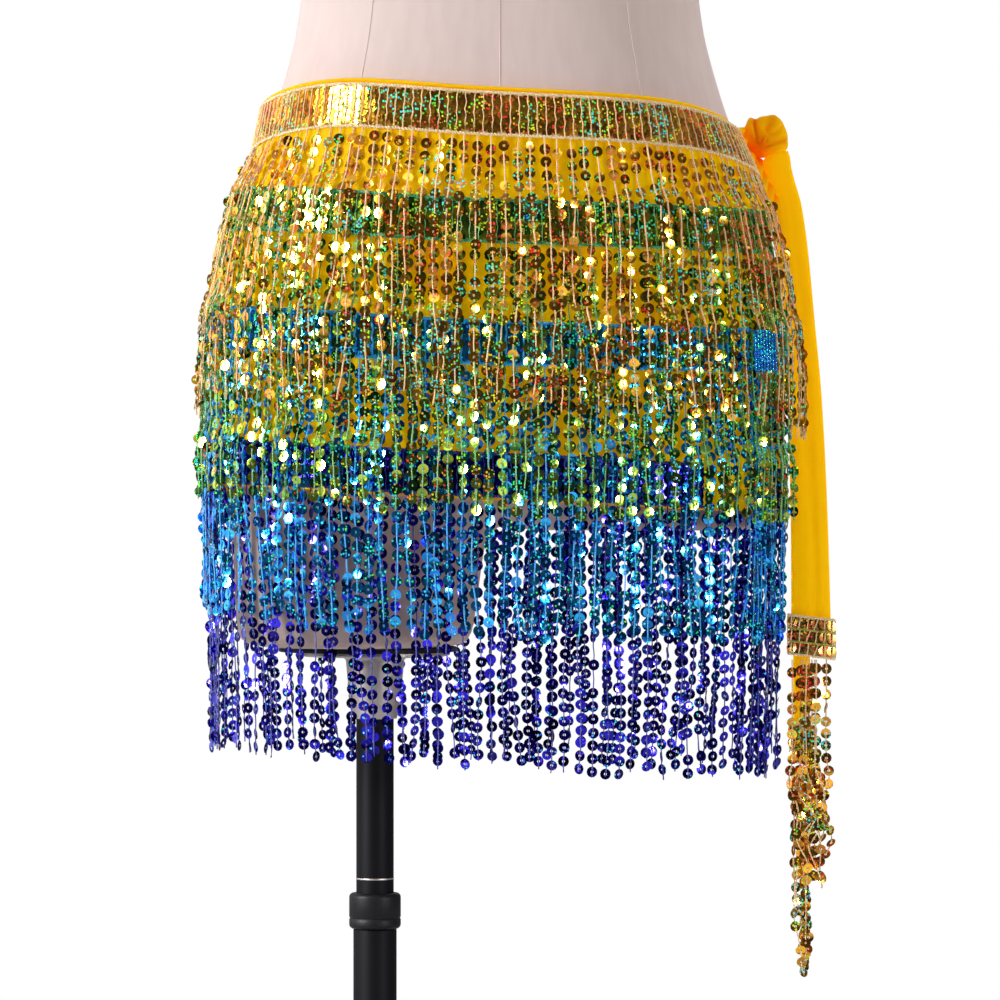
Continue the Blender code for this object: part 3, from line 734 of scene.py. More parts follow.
def put_sequin(collector, shape, centre, across, up, out, yaw, tilt, roll, tint):
    """Adds a sequin that faces out, turned by yaw about up, leant back by tilt, rolled in its own plane."""
    points, faces = shape
    turn = Matrix.Rotation(yaw, 3, "Y") @ Matrix.Rotation(tilt, 3, "X") @ Matrix.Rotation(roll, 3, "Z")
    basis = frame_matrix(across, up, out) @ np.array(turn)
    collector.add(points @ basis.T + np.array(centre), faces, tint)


# ---- sequin trims -----------------------------------------------------------
FLAP_TURN = 27                 # where the turquoise trim's end is folded over, in degrees
FLAP_CORDS = 8


def bead_shape():
    """A unit bead, long along X, of three rings of six points."""
    points = [(-1.0, 0, 0)]
    for x, r in ((-0.6, 0.75), (0.0, 1.0), (0.6, 0.75)):
        points += [(x, r * math.cos(math.pi * k / 3), r * math.sin(math.pi * k / 3)) for k in range(6)]
    points.append((1.0, 0, 0))
    triangles = [(0, 1 + (k + 1) % 6, 1 + k) for k in range(6)]
    triangles += [(19, 13 + k, 13 + (k + 1) % 6) for k in range(6)]
    quads = []
    for row in (1, 7):
        quads += [(row + k, row + (k + 1) % 6, row + 6 + (k + 1) % 6, row + 6 + k) for k in range(6)]
    return np.array(points), [np.array(triangles, np.int32), np.array(quads, np.int32)]


BEAD = bead_shape()


def rope(collector, path, radius, lean=0.6):
    """A twisted cord along a path, as a row of slanted fat beads."""
    points, faces = BEAD
    for i in range(len(path) - 1):
        here = (path[i] + path[i + 1]) / 2
        ahead = path[i + 1] - path[i]
        length = ahead.length
        ahead.normalize()
        side = UP.cross(ahead) if abs(ahead.z) < 0.8 else Vector((0, 1, 0)).cross(ahead)
        side.normalize()
        other = ahead.cross(side)
        slanted = (ahead + other * lean).normalized()
        upright = slanted.cross(side).normalized()
        basis = frame_matrix(slanted * (length * 0.85), side * radius, upright * radius)
        collector.add(points @ basis.T + np.array(here), faces)


def collected(name, rows):
    """Makes a piece of each collector, from rows of (ending, collector, finish, nodes it replaces)."""
    return [
        add_piece(name + "_" + ending, shapes.mesh(name + "_" + ending), finish, nodes)
        for ending, shapes, finish, nodes in rows
    ]


def build_trim(colour, node, wall, finishes, seed):
    """A strip with rows of overlapping sequins, a thread down each column and a cord at each edge."""
    draw = random.Random(seed)
    height = float(np.median(np.array(wall.tops) - np.array(wall.bottoms)))
    middle = lambda t: (wall.top(t) + wall.bottom(t)) / 2

    strip = Collector()
    turns = np.linspace(wall.start, wall.end, 260)
    for share, order in ((0.0, 1), (0.12, -1)):
        points = [
            wall.point(t, wall.top(t) + (wall.bottom(t) - wall.top(t)) * down, share)
            for down in STRIP_SHARES for t in turns
        ]
        faces = grid_faces(len(STRIP_SHARES), len(turns))[:, ::order]
        strip.add(np.array([tuple(p) for p in points]), [faces])

    sequins, threads, cords = (Collector() for _ in range(3))
    rows = round((height - 2 * TRIM_MARGIN) / TRIM_ROW)
    for c, turn in enumerate(wall.along(middle, TRIM_COLUMN)):
        across, up, out = wall.axes(turn, middle(turn))
        pitch = (wall.top(turn) - wall.bottom(turn) - 2 * TRIM_MARGIN) / rows
        thread = [wall.point(turn, wall.bottom(turn) + 0.6 * MM, 1.0, 0.1 * MM)]
        for r in range(rows if c % 2 else rows + 1):
            z = wall.bottom(turn) + TRIM_MARGIN + (r + (0.5 if c % 2 else 0.0)) * pitch
            centre = wall.point(turn, z, 0.80, draw.uniform(-0.05, 0.05) * MM)
            yaw = math.radians(draw.gauss(0, 0.7) + (0.6 if c % 2 else -0.6))
            tilt = math.radians(draw.gauss(-2.5, 0.7))
            roll = draw.uniform(0, 6.28)
            put_sequin(sequins, TRIM_SEQUIN, centre, across, up, out, yaw, tilt, roll, draw.random())
            swing = across * (draw.uniform(0.1, 0.5) * MM * (1 if r % 2 else -1))
            bend = min(z + 0.5 * pitch, wall.top(turn) - MM)
            thread.append(wall.point(turn, bend, 1.0, 0.25 * MM) + swing)
        thread.append(wall.point(turn, wall.top(turn) - 0.6 * MM, 1.0, 0.1 * MM))
        threads.add(*tube(thread, TRIM_THREAD[colour]))
    fine = wall.along(middle, BEAD_STEP)
    edges = ((wall.top, -0.5 * MM, ROPE_RADIUS), (wall.bottom, 0.4 * MM, ROPE_RADIUS * 0.85))
    for edge, inset, radius in edges:
        rope(cords, [wall.point(t, edge(t) + inset, 0.85) for t in fine], radius)
    for turn in (wall.start, wall.end):
        heights = np.arange(wall.bottom(turn), wall.top(turn), 1.8 * MM)
        rope(cords, [wall.point(turn, z, 0.7) for z in heights], ROPE_RADIUS * 0.8)
    return collected(colour + "_trim", (
        ("strip", strip, finishes["thread"], [node]),
        ("sequins", sequins, finishes["sequin"], ()),
        ("threads", threads, finishes["thread"], ()),
        ("cords", cords, finishes["cord"], ()),
    ))


def build_folded_end(wall, finish):
    """The turquoise trim's end, turned over on itself, as a few beaded cords that stand upright."""
    cords = Collector()
    low, high = wall.bottom(FLAP_TURN) + 0.3 * MM, wall.top(FLAP_TURN) - 0.3 * MM
    for k in range(FLAP_CORDS):
        aside = Vector((1.75, 0.75 + 0.10 * k, 0)) * (k * MM)
        inset = 1.6 * MM * abs(k / (FLAP_CORDS - 1) - 0.4) ** 2
        heights = np.arange(low + inset, high - 2 * inset, 2.2 * MM)
        path = [wall.point(FLAP_TURN, z, 1.0, 7.0 * MM) + aside for z in heights]
        rope(cords, path, 1.1 * MM, lean=1.0 if k % 2 else -1.0)
    return add_piece("turquoise_folded_end", cords.mesh("turquoise_folded_end"), finish)


# ---- sequin fringes ---------------------------------------------------------
EDGE_ON = 0.09                 # share of the sequins that stand edge-on
BEHIND_THREAD = 0.62           # share that lie behind their thread
TURNED_OVER = 0.35             # share that show their back


class Fringe:
    """Collects one fringe's strands: threads in one mesh, and sequins in another."""

    def __init__(self, colour, finishes, slot, seed, replaced):
        self.colour, self.finishes, self.slot, self.replaced = colour, finishes, slot, replaced
        self.draw = random.Random(seed)
        self.threads, self.sequins = Collector(), Collector()

    def strand(self, path, axes, first, pitch=SEQUIN_PITCH, loose=1.0, missing=0.03):
        """A strand along a path of points: axes(point number) gives its across, up and out directions."""
        draw = self.draw
        runs = np.concatenate([[0], np.cumsum([(b - a).length for a, b in zip(path, path[1:])])])
        tint = draw.random()
        reach = last = first + draw.uniform(-1.5, 1.5) * MM
        pitch *= draw.uniform(0.96, 1.05)
        pose, lean = draw.gauss(0, 12), draw.gauss(0, 7)
        while reach < runs[-1] - 1.5 * MM:
            at = np.interp(reach, runs, np.arange(len(path)))
            i = min(int(at), len(path) - 2)
            centre = path[i].lerp(path[i + 1], at - i)
            ahead = (path[i] - path[i + 1]).normalized()
            across, up, out = axes(i)
            across = ahead.cross(out).normalized()
            out = across.cross(ahead).normalized()
            free = loose * (0.35 + 0.65 * min(1.0, reach / runs[-1] * 2))
            pose = 0.75 * pose + draw.gauss(0, 12) * free
            lean = 0.75 * lean + draw.gauss(0, 6) * free
            yaw = pose
            if draw.random() < EDGE_ON * free:
                yaw = draw.choice((-1, 1)) * draw.uniform(55, 85)
            behind = draw.random() < BEHIND_THREAD
            offset = (-0.35 if behind else 0.6) * MM * math.cos(math.radians(yaw))
            if draw.random() > missing:
                last = reach
                tilt = math.radians(lean) + (math.pi if draw.random() < TURNED_OVER else 0.0)
                roll = draw.uniform(0, 6.28)
                spot, turned = centre + out * offset, math.radians(yaw)
                put_sequin(
                    self.sequins, SEQUIN, spot, across, ahead, out, turned, tilt, roll, draw.random(),
                )
            reach += pitch * draw.uniform(0.93, 1.07)
        shown = [spot for spot, run in zip(path, runs) if run < last + THREAD_TAIL]
        self.threads.add(*tube(shown, THREAD_RADIUS), tint=tint)

    def finish(self):
        return collected(self.colour + "_fringe", (
            ("threads", self.threads, self.finishes["thread"], self.replaced),
            ("sequins", self.sequins, self.finishes["sequin"], ()),
        ))


def build_fringe(colour, node, finishes, slot, seed):
    """A full tier of strands, hung round the belt from its trim."""
    wall = Wall(node)
    fringe = Fringe(colour, finishes, slot, seed, [node])
    draw = fringe.draw
    spots = wall.along(wall.top, STRAND_PITCH)
    if colour in ("turquoise", "blue"):
        sparse = [BACK_TURNS[0] < turn < BACK_TURNS[1] for turn in spots]
        spots = [turn for n, turn in enumerate(spots) if n % 3 or not sparse[n]]
    spots += [turn + 1.2 for turn in spots if turn < wall.start + EDGE_TURNS]
    for n, turn in enumerate(spots):
        turn += draw.uniform(-0.25, 0.25)
        top = wall.top(turn) + 0.6 * MM
        bottom = wall.bottom(turn) + abs(draw.gauss(0, 3.0)) * MM
        radius = (wall.point(turn, top) - Vector((AXIS_X, 0, top))).length
        steps = int((top - bottom) / (THREAD_STEP * 1.3))
        lane = draw.uniform(0.15, 0.85)
        amount = draw.uniform(0.6, 1.4)
        path, turns, axes = [], [], {}
        for k in range(steps + 1):
            share = k / steps
            z = top + (bottom - top) * share
            ease = min(1.0, share * 1.6)
            shift = 5.0 * noise.noise(Vector((n * 0.31, z * 9.0, seed * 1.7))) * ease
            shift += 3.8 * amount * noise.noise(Vector((n * 5.3, z * 17.0, seed * 3.1))) * ease
            shift += 0.7 * noise.noise(Vector((n * 9.1, z * 130.0, seed * 1.3)))
            first, last = wall.limits(z)
            at = min(max(turn - math.degrees(shift * MM / radius), first + 0.2), last - 0.2)
            sway = 0.22 * noise.noise(Vector((n * 3.7, z * 24.0, seed * 0.9)))
            path.append(wall.point(at, z, min(max(lane + sway, 0.05), 0.95)))
            turns.append(at)

        def facing(i, path=path, turns=turns, axes=axes):
            """The wall's axes near a point of the path, worked out once for each six points."""
            if i // 6 not in axes:
                axes[i // 6] = wall.axes(turns[i], path[i].z)
            return axes[i // 6]

        fringe.strand(path, facing, first=7.5 * MM + draw.gauss(0, 1.0) * MM)
    return fringe.finish()


# ---- knot, ties and tails ---------------------------------------------------
TAIL_COLUMNS, TAIL_ROWS = 52, 90
TAIL_SLANT = 0.12              # how much each tail's trim drops to the right
TIP_SHIFT = 4 * MM             # how far each tail fringe's tip hangs to the right of its node's
KNOT_LAYERS = 34
KNOT_STEPS = 9                 # points of the smooth outline for each one of KNOT_OUTLINE
KNOT_OUTLINE = (               # seen from the front, as shares of the knot's box to the right and up
    (0.00, 0.50), (0.06, 0.74), (0.15, 0.91), (0.27, 0.90), (0.36, 0.93), (0.52, 0.96), (0.67, 0.99),
    (0.80, 0.88), (0.90, 0.70), (0.97, 0.42), (0.95, 0.20), (0.80, 0.06), (0.55, 0.00), (0.30, 0.00),
    (0.12, 0.22),
)
KNOT_ROOT = (0.32, 0.15)       # where its folds meet
KNOT_FOLDS = (                 # bearing from the root in degrees, half width in degrees, depth in mm
    (94, 6, 3.6), (116, 8, 1.2), (68, 8, 1.9), (45, 5, 1.1), (16, 7, 2.0),
)
CORNER_DROP = 72 * MM          # how far down the panel's edge the gathers start
CORNER_PLEATS = 6
CORNER_REACH = 20 * MM         # how much farther out the gathers go under the knot than beside it
CORNER_ROWS, CORNER_STEPS = 73, 16
CORNER_SKIN = 0.5 * MM


class Ribbon:
    """A narrow hanging node: its least and greatest x and y by height."""

    def __init__(self, node, step=2 * MM):
        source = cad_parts[node].data
        source.calc_loop_triangles()
        points = np.empty(len(source.vertices) * 3)
        source.vertices.foreach_get("co", points)
        corners = np.empty(len(source.loop_triangles) * 3, np.int32)
        source.loop_triangles.foreach_get("vertices", corners)
        points = points.reshape(-1, 3)
        triangles = points[corners.reshape(-1, 3)]
        self.low, self.high = points[:, 2].min(), points[:, 2].max()
        self.heights = np.arange(self.low + 0.2 * MM, self.high - 0.1 * MM, step)
        self.limits = np.array([self.section(triangles, z) for z in self.heights])
        reach = min(8, len(self.heights) // 3)
        if reach:
            spread = np.ones(2 * reach + 1) / (2 * reach + 1)
            for k in range(4):
                padded = np.pad(self.limits[:, k], reach, mode="edge")
                self.limits[:, k] = np.convolve(padded, spread, mode="valid")

    def section(self, triangles, z):
        """Least x, least y, greatest x and greatest y where the node's triangles cross a height."""
        cut = []
        for a, b in ((0, 1), (1, 2), (2, 0)):
            first, second = triangles[:, a], triangles[:, b]
            crossing = (first[:, 2] - z) * (second[:, 2] - z) < 0
            first, second = first[crossing], second[crossing]
            share = ((z - first[:, 2]) / (second[:, 2] - first[:, 2]))[:, None]
            cut.append(first + (second - first) * share)
        cut = np.concatenate(cut)
        return (*cut[:, :2].min(axis=0), *cut[:, :2].max(axis=0))

    def at(self, z):
        """Least x, least y, greatest x and greatest y at a height."""
        return [float(np.interp(z, self.heights, self.limits[:, k])) for k in range(4)]


def build_tail(name, node, finish, rise, folds, seed):
    """A gathered strip, as a flat closed tube with soft folds down it, whose top goes rise into the knot."""
    ribbon = Ribbon(node)
    top, bottom = ribbon.high + rise, ribbon.low + 0.2 * MM
    points = []
    for r in range(TAIL_ROWS):
        z = top + (bottom - top) * r / (TAIL_ROWS - 1)
        x0, y0, x1, y1 = ribbon.at(z)
        beyond = max(0.0, (z - ribbon.high) / rise)
        narrow = (x1 - x0) * beyond ** 2
        x0, x1 = x0 + 0.30 * narrow, x1 - 0.10 * narrow
        strength = min(1.0, (top - z) / (150 * MM))
        for c in range(TAIL_COLUMNS):
            a = 2 * math.pi * c / TAIL_COLUMNS
            across = 0.5 - 0.5 * math.cos(a)
            drift = 0.45 * noise.noise(Vector((seed, across * 1.5, z * 9.0)))
            fold = 0.5 + 0.5 * math.cos(2 * math.pi * (folds * across + drift + 0.12 * seed))
            fine = noise.noise(Vector((across * 7.0, seed * 2.0, z * 7.0)))
            fullness = abs(math.sin(a)) ** 0.7 * (1.0 - 0.24 * fold * strength - 0.06 * fine)
            side = -1 if math.sin(a) > 0 else 1
            y = (y0 + y1) / 2 + side * (y1 - y0) / 2 * min(fullness, 1.0) * 0.98
            points.append((x0 + (x1 - x0) * across, y, z))
    faces = [grid_faces(TAIL_ROWS, TAIL_COLUMNS, closed=True), end_caps(TAIL_ROWS, TAIL_COLUMNS)]
    piece = add_piece(name, new_mesh(name, points, faces), finish, [node])


def spline(points, steps):
    """A smooth line through points (Catmull-Rom)."""
    points = [Vector(p) for p in points]
    ends = [points[0] * 2 - points[1]] + points + [points[-1] * 2 - points[-2]]
    line = []
    for a, b, c, d in zip(ends, ends[1:], ends[2:], ends[3:]):
        for k in range(steps):
            s = k / steps
            square, cube = 2 * a - 5 * b + 4 * c - d, 3 * b - a - 3 * c + d
            line.append(0.5 * (2 * b + (c - a) * s + square * s ** 2 + cube * s ** 3))
    return line + [points[-1]]


def build_knot(finish):
    """The knot: a soft lump in two lobes, whose folds fan up and over from its lower left corner."""
    low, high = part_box("knot")
    size = high - low
    outline = [Vector((x, 0, z)) for x, z in KNOT_OUTLINE]
    line = spline(outline + outline[:1], KNOT_STEPS)[:-1]
    centre = Vector((0.50, 0, 0.48))
    points, tones_and_painted_shades = [], []
    for j in range(KNOT_LAYERS + 1):
        latitude = math.pi * (j / KNOT_LAYERS - 0.5)
        for spot in line:
            flat = centre + (spot - centre) * max(math.cos(latitude), 0.0) ** 0.5
            across, rise = (flat.x - KNOT_ROOT[0]) * size.x, (flat.z - KNOT_ROOT[1]) * size.z
            bearing, distance = math.degrees(math.atan2(rise, across)), math.hypot(rise, across)
            side = 1.3 if latitude < 0 else 5.1
            bearing += 7 * noise.noise(Vector((bearing * 0.02, distance * 70, side)))
            reach = min(1.0, distance / (7 * MM))
            spread = 1.6 - 0.6 * reach
            crease = sum(
                depth * math.exp(-((bearing - at) / (wide * spread)) ** 2) for at, wide, depth in KNOT_FOLDS
            ) * MM * reach
            fine = noise.noise(Vector((bearing * 0.11, distance * 50, side)))
            bulge = math.copysign(abs(math.sin(latitude)) ** 0.8, latitude)
            y = 0.5 + 0.5 * bulge * (1 - (crease + 0.35 * MM * fine) / (size.y / 2))
            pinch = 1 - 0.05 * min(crease / (3 * MM), 1.0) * math.cos(latitude)
            flat = centre + (flat - centre) * pinch
            points.append(low + Vector((flat.x * size.x, y * size.y, flat.z * size.z)))
            # painted shade: the cloth is painted deeper red-orange in its creases and round the root where the
            # folds meet
            painted_light = math.exp(-(distance / (7.0 * MM)) ** 2)
            tones_and_painted_shades.append(min(0.95, 0.18 + 0.20 * crease / MM + 0.95 * painted_light))
    rows, columns = KNOT_LAYERS + 1, len(line)
    faces = [grid_faces(rows, columns, closed=True), end_caps(rows, columns)]
    mesh = new_mesh("knot_cloth", [tuple(p) for p in points], faces)
    mesh.attributes.new("tint", "FLOAT", "POINT").data.foreach_set("value", tones_and_painted_shades)
    piece = add_piece("knot_cloth", mesh, finish, ["knot"])


def build_corner(name, node, panel, finish, towards):
    """The panel's corner, in pleats that close in on the knot. towards is 1 for the front, -1 for the back."""
    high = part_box(node)[1]
    knot_low, knot_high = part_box("knot")
    side = 0 if towards > 0 else 1
    outer, inner, tones_and_painted_shades = [], [], []
    for r in range(CORNER_ROWS):
        down = r / (CORNER_ROWS - 1)
        z = high.z - 1.5 * MM - CORNER_DROP * down
        start = panel.point(panel.limits(z)[side] + 1.2 * towards, z, 0.4)
        end = Vector((
            knot_low.x + 3.5 * MM + CORNER_REACH * max(0.0, (down - 0.3) / 0.7) ** 0.8,
            (knot_low.y + knot_high.y) / 2 + (5 * MM if towards > 0 else 4 * MM),
            knot_high.z - 7.5 * MM - (knot_high.z - knot_low.z + 10.5 * MM) * down,
        ))
        pleat = math.sin(2 * math.pi * CORNER_PLEATS * down + 0.8 * math.sin(9 * down))
        for c in range(CORNER_STEPS):
            s = c / (CORNER_STEPS - 1)
            spot = start.lerp(end, s)
            away = Vector((spot.x - AXIS_X, spot.y, 0)).normalized()
            bulge = 0.6 * MM * math.sin(math.pi * s) + 1.1 * MM * pleat * min(1.0, 2 * s) * (1 - 0.3 * s)
            outer.append(tuple(spot + away * bulge))
            inner.append(tuple(spot + away * (bulge - CORNER_SKIN)))
            # painted shade: the cloth is painted deeper red-orange in the pleats' hollows, and more so towards
            # the knot
            tones_and_painted_shades.append(min(0.95, 0.5 * s * (0.5 - 0.5 * pleat) + 0.75 * s ** 1.5))
    mesh = new_mesh(name, outer + inner, [shell_faces(CORNER_ROWS, CORNER_STEPS, -towards)])
    mesh.attributes.new("tint", "FLOAT", "POINT").data.foreach_set("value", tones_and_painted_shades + tones_and_painted_shades)
    return add_piece(name, mesh, finish, [node])


def oval(ribbon, z, turn, out=0.0):
    """A point on the rounded outline of a narrow node at a height, and the way out of it there."""
    x0, y0, x1, y1 = ribbon.at(z)
    a = math.radians(turn)
    wide, deep = (x1 - x0) / 2 + out, (y1 - y0) / 2 + out
    c, s = math.cos(a), math.sin(a)
    c, s = math.copysign(abs(c) ** 0.6, c), math.copysign(abs(s) ** 0.6, s)
    spot = Vector(((x0 + x1) / 2 + wide * c, (y0 + y1) / 2 - deep * s, z - TAIL_SLANT * wide * c))
    return spot, Vector((c * deep, -s * wide, 0)).normalized()


def build_tail_trim(name, node, rows, finishes, seed):
    """The small trim round a tail's end: rows of sequins with slanted threads, and a cord at each edge."""
    draw = random.Random(seed)
    ribbon = Ribbon(node)
    low, high = ribbon.low + 1.6 * MM, ribbon.high - 1.6 * MM
    around = np.linspace(0, 360, 241)
    strip, sequins, threads, cords, lines = (Collector() for _ in range(5))
    ring = around[:-1:6]
    points = [tuple(oval(ribbon, z, t, -1.1 * MM)[0]) for z in (low, high) for t in ring]
    strip.add(np.array(points), [grid_faces(2, len(ring), closed=True)])
    row_height = (high - low) / rows

    def stops(spacing):
        """Turns at an even spacing round the trim."""
        spots = [oval(ribbon, (low + high) / 2, t)[0] for t in around]
        runs = np.concatenate([[0], np.cumsum([(b - a).length for a, b in zip(spots, spots[1:])])])
        count = round(runs[-1] / spacing)
        return [float(t) for t in np.interp(runs[-1] * np.arange(count) / count, runs, around)]

    for c, turn in enumerate(stops(TRIM_COLUMN)):
        for r in range(rows):
            z = low + (r + 0.5) * row_height
            spot, out = oval(ribbon, z, turn, -0.55 * MM)
            across = UP.cross(out)
            yaw, tilt = math.radians(draw.gauss(0, 5)), math.radians(draw.gauss(-9, 4))
            roll = draw.uniform(0, 6.28)
            put_sequin(sequins, SEQUIN, spot, across, UP, out, yaw, tilt, roll, draw.random())
            lean = 5.0 * (1 if (r + c) % 2 else 0.4)
            rises = (-0.5, 0.0, 0.5)
            line = [oval(ribbon, z + k * row_height * 0.9, turn - lean * k)[0] for k in rises]
            threads.add(*tube(line, THREAD_RADIUS))
    fine = [*stops(1.7 * MM), 360.0]
    for edge in (low, high):
        rope(cords, [oval(ribbon, edge, t, -0.45 * MM)[0] for t in fine], ROPE_RADIUS)
    for r in range(1, rows):
        line = [oval(ribbon, low + r * row_height, t, -0.35 * MM)[0] for t in fine]
        lines.add(*tube(line, 0.75 * MM, sides=5))
    collected(name, (
        ("lines", lines, finishes["line"], ()),
        ("strip", strip, finishes["band"], [node]),
        ("sequins", sequins, finishes["band"], ()),
        ("threads", threads, finishes["thread"], ()),
        ("cords", cords, finishes["cord"], ()),
    ))


def build_tail_fringe(name, node, homes, tangle, finishes, seed):
    """The strands below a tail: homes are their places across it, and tangle is how far they loop, in mm."""
    ribbon = Ribbon(node)
    fringe = Fringe(name, finishes, "gold_sequins", seed, [node])
    draw = fringe.draw
    top, bottom = ribbon.high - 0.2 * MM, ribbon.low - 2.5 * MM
    forward = (Vector((1, 0, 0)), UP, Vector((0, -1, 0)))
    for n, home in enumerate(homes):
        depth = 0.15 + 0.7 * ((n * 0.618) % 1.0)
        end = bottom + abs(draw.gauss(0, 5)) * MM
        steps = int((top - end) / (THREAD_STEP * 0.8))
        path = []
        for k in range(steps + 1):
            share = k / steps
            z = top + (end - top) * share
            x0, y0, x1, y1 = ribbon.at(z)
            ease = min(1.0, share * 2.0)
            loop = tangle * math.sin(math.pi * min(max((share - 0.45) / 0.53, 0), 1)) ** 0.7
            shift = 2.2 * ease * noise.noise(Vector((n * 4.1, z * 16.0, seed)))
            shift += loop * noise.noise(Vector((n * 6.7, z * 34.0, seed + 2.0)))
            deep = 0.45 * noise.noise(Vector((n * 2.3, z * 30.0, seed + 4.0))) * ease
            spare = 0.5 * loop * MM
            x = x0 + (x1 - x0) * (0.04 + 0.92 * home) + shift * MM
            x += TIP_SHIFT * max(0.0, share - 0.6) / 0.4
            y = y0 + (y1 - y0) * min(max(depth + deep, 0.06), 0.94)
            path.append(Vector((min(max(x, x0 + MM - spare), x1 - MM + spare), y, z)))
        fringe.strand(path, lambda i: forward, first=6.5 * MM, loose=1.6, missing=0.10)
    fringe.finish()


# ---- stage ------------------------------------------------------------------
CAMERA_DISTANCE = 3.0
CAMERA_HEIGHT = 0.71
CAMERA_LENS = 180
FLOOR_RADIUS = 1.6
GALLERY = 0.60                 # strength of the bright band that mirrors see above the horizon
LIGHTS = (
    # name, degrees to the camera's right, height, distance, size, watts, height aimed at, rays that miss it
    ("key_light", -62, 1.15, 2.2, (0.50, 1.5), 39, 0.72, "glossy"),
    ("key_glint", -62, 1.36, 2.2, (0.42, 0.80), 200, 0.84, "diffuse"),
    ("second_light", 66, 1.0, 2.4, (0.45, 1.3), 19, 0.72, "glossy"),
    ("second_glint", 46, 0.85, 2.4, (0.30, 0.26), 54, 0.72, "diffuse"),
    ("left_glint", -112, 1.0, 2.2, (1.5, 1.4), 9, 0.72, "diffuse"),
    ("top_light", -15, 3.1, 1.0, (1.6, 1.6), 14, 0.9, ""),
)


def area_light(name, turn, height, distance, size, power, aim, unseen):
    """A soft box round the form that faces the height aim on its axis, and that unseen rays don't meet."""
    light = bpy.data.lights.new(name, "AREA")
    light.shape = "RECTANGLE"
    light.size, light.size_y = size
    light.energy = power
    lamp = bpy.data.objects.new(name, light)
    a = math.radians(turn)
    lamp.location = Vector((AXIS_X + distance * math.sin(a), -distance * math.cos(a), height))
    lamp.rotation_euler = (Vector((AXIS_X, 0, aim)) - lamp.location).to_track_quat("-Z", "Y").to_euler()
    lamp.visible_glossy = unseen != "glossy"
    lamp.visible_diffuse = unseen != "diffuse"
    bpy.context.scene.collection.objects.link(lamp)
    return lamp


def build_world():
    """White where the camera sees it. To all else a room, dim behind the camera and lighter up and behind."""
    world = bpy.data.worlds.new("studio")
    bpy.context.scene.world = world
    world.use_nodes = True
    tree = world.node_tree
    background = tree.nodes["Background"]
    background.inputs["Color"].default_value = (1, 1, 1, 1)
    place = tree.nodes.new("ShaderNodeTexCoord")
    split = tree.nodes.new("ShaderNodeSeparateXYZ")
    tree.links.new(place.outputs["Generated"], split.inputs[0])
    path = tree.nodes.new("ShaderNodeLightPath")

    def ramp(axis, low, high, start, end):
        """A share of the way along an axis, low..high, mapped to start..end and held at the ends."""
        made = tree.nodes.new("ShaderNodeMapRange")
        tree.links.new(split.outputs[axis], made.inputs["Value"])
        for key, value in (("From Min", low), ("From Max", high), ("To Min", start), ("To Max", end)):
            made.inputs[key].default_value = value
        return made.outputs[0]

    def combine(operation, first, second):
        made = tree.nodes.new("ShaderNodeMath")
        made.operation = operation
        tree.links.new(first, made.inputs[0])
        tree.links.new(second, made.inputs[1])
        return made.outputs[0]

    mirrored = path.outputs["Is Glossy Ray"]
    room = combine("MULTIPLY", ramp("Y", -0.40, 0.7, 0.08, 0.74), ramp("Z", -0.3, 0.8, 0.5, 1.3))
    gallery = combine("MULTIPLY", ramp("Z", 0.45, 0.53, 0.0, GALLERY), ramp("Z", 0.72, 0.82, 1.0, 0.2))
    seen = combine("ADD", room, combine("MULTIPLY", gallery, mirrored))
    right = combine("MULTIPLY", ramp("X", 0.05, 0.6, 0.0, 0.60), mirrored)
    strength = combine("SUBTRACT", seen, combine("MULTIPLY", right, seen))
    choose = tree.nodes.new("ShaderNodeMix")
    tree.links.new(path.outputs["Is Camera Ray"], choose.inputs[0])
    tree.links.new(strength, choose.inputs[2])
    choose.inputs[3].default_value = 1.0
    tree.links.new(choose.outputs[0], background.inputs["Strength"])


def build_stage():
    """The floor, the lights and the camera."""
    floor = bpy.data.meshes.new("floor")
    work = bmesh.new()
    bmesh.ops.create_circle(work, cap_ends=True, segments=128, radius=FLOOR_RADIUS)
    work.to_mesh(floor)
    work.free()
    floor.materials.append(floor_finish())
    ground = bpy.data.objects.new("floor", floor)
    ground.location = (AXIS_X, 0, -0.5 * MM)
    bpy.context.scene.collection.objects.link(ground)
    lamps = [area_light(*row) for row in LIGHTS]

    camera = bpy.data.cameras.new("camera")
    camera.sensor_width = 36
    camera.lens = CAMERA_LENS
    eye = bpy.data.objects.new("camera", camera)
    eye.location = (AXIS_X, -CAMERA_DISTANCE, CAMERA_HEIGHT)
    eye.rotation_euler = (math.radians(90), 0, 0)
    bpy.context.scene.collection.objects.link(eye)
    bpy.context.scene.camera = eye
    bpy.context.scene.view_settings.view_transform = "Standard"


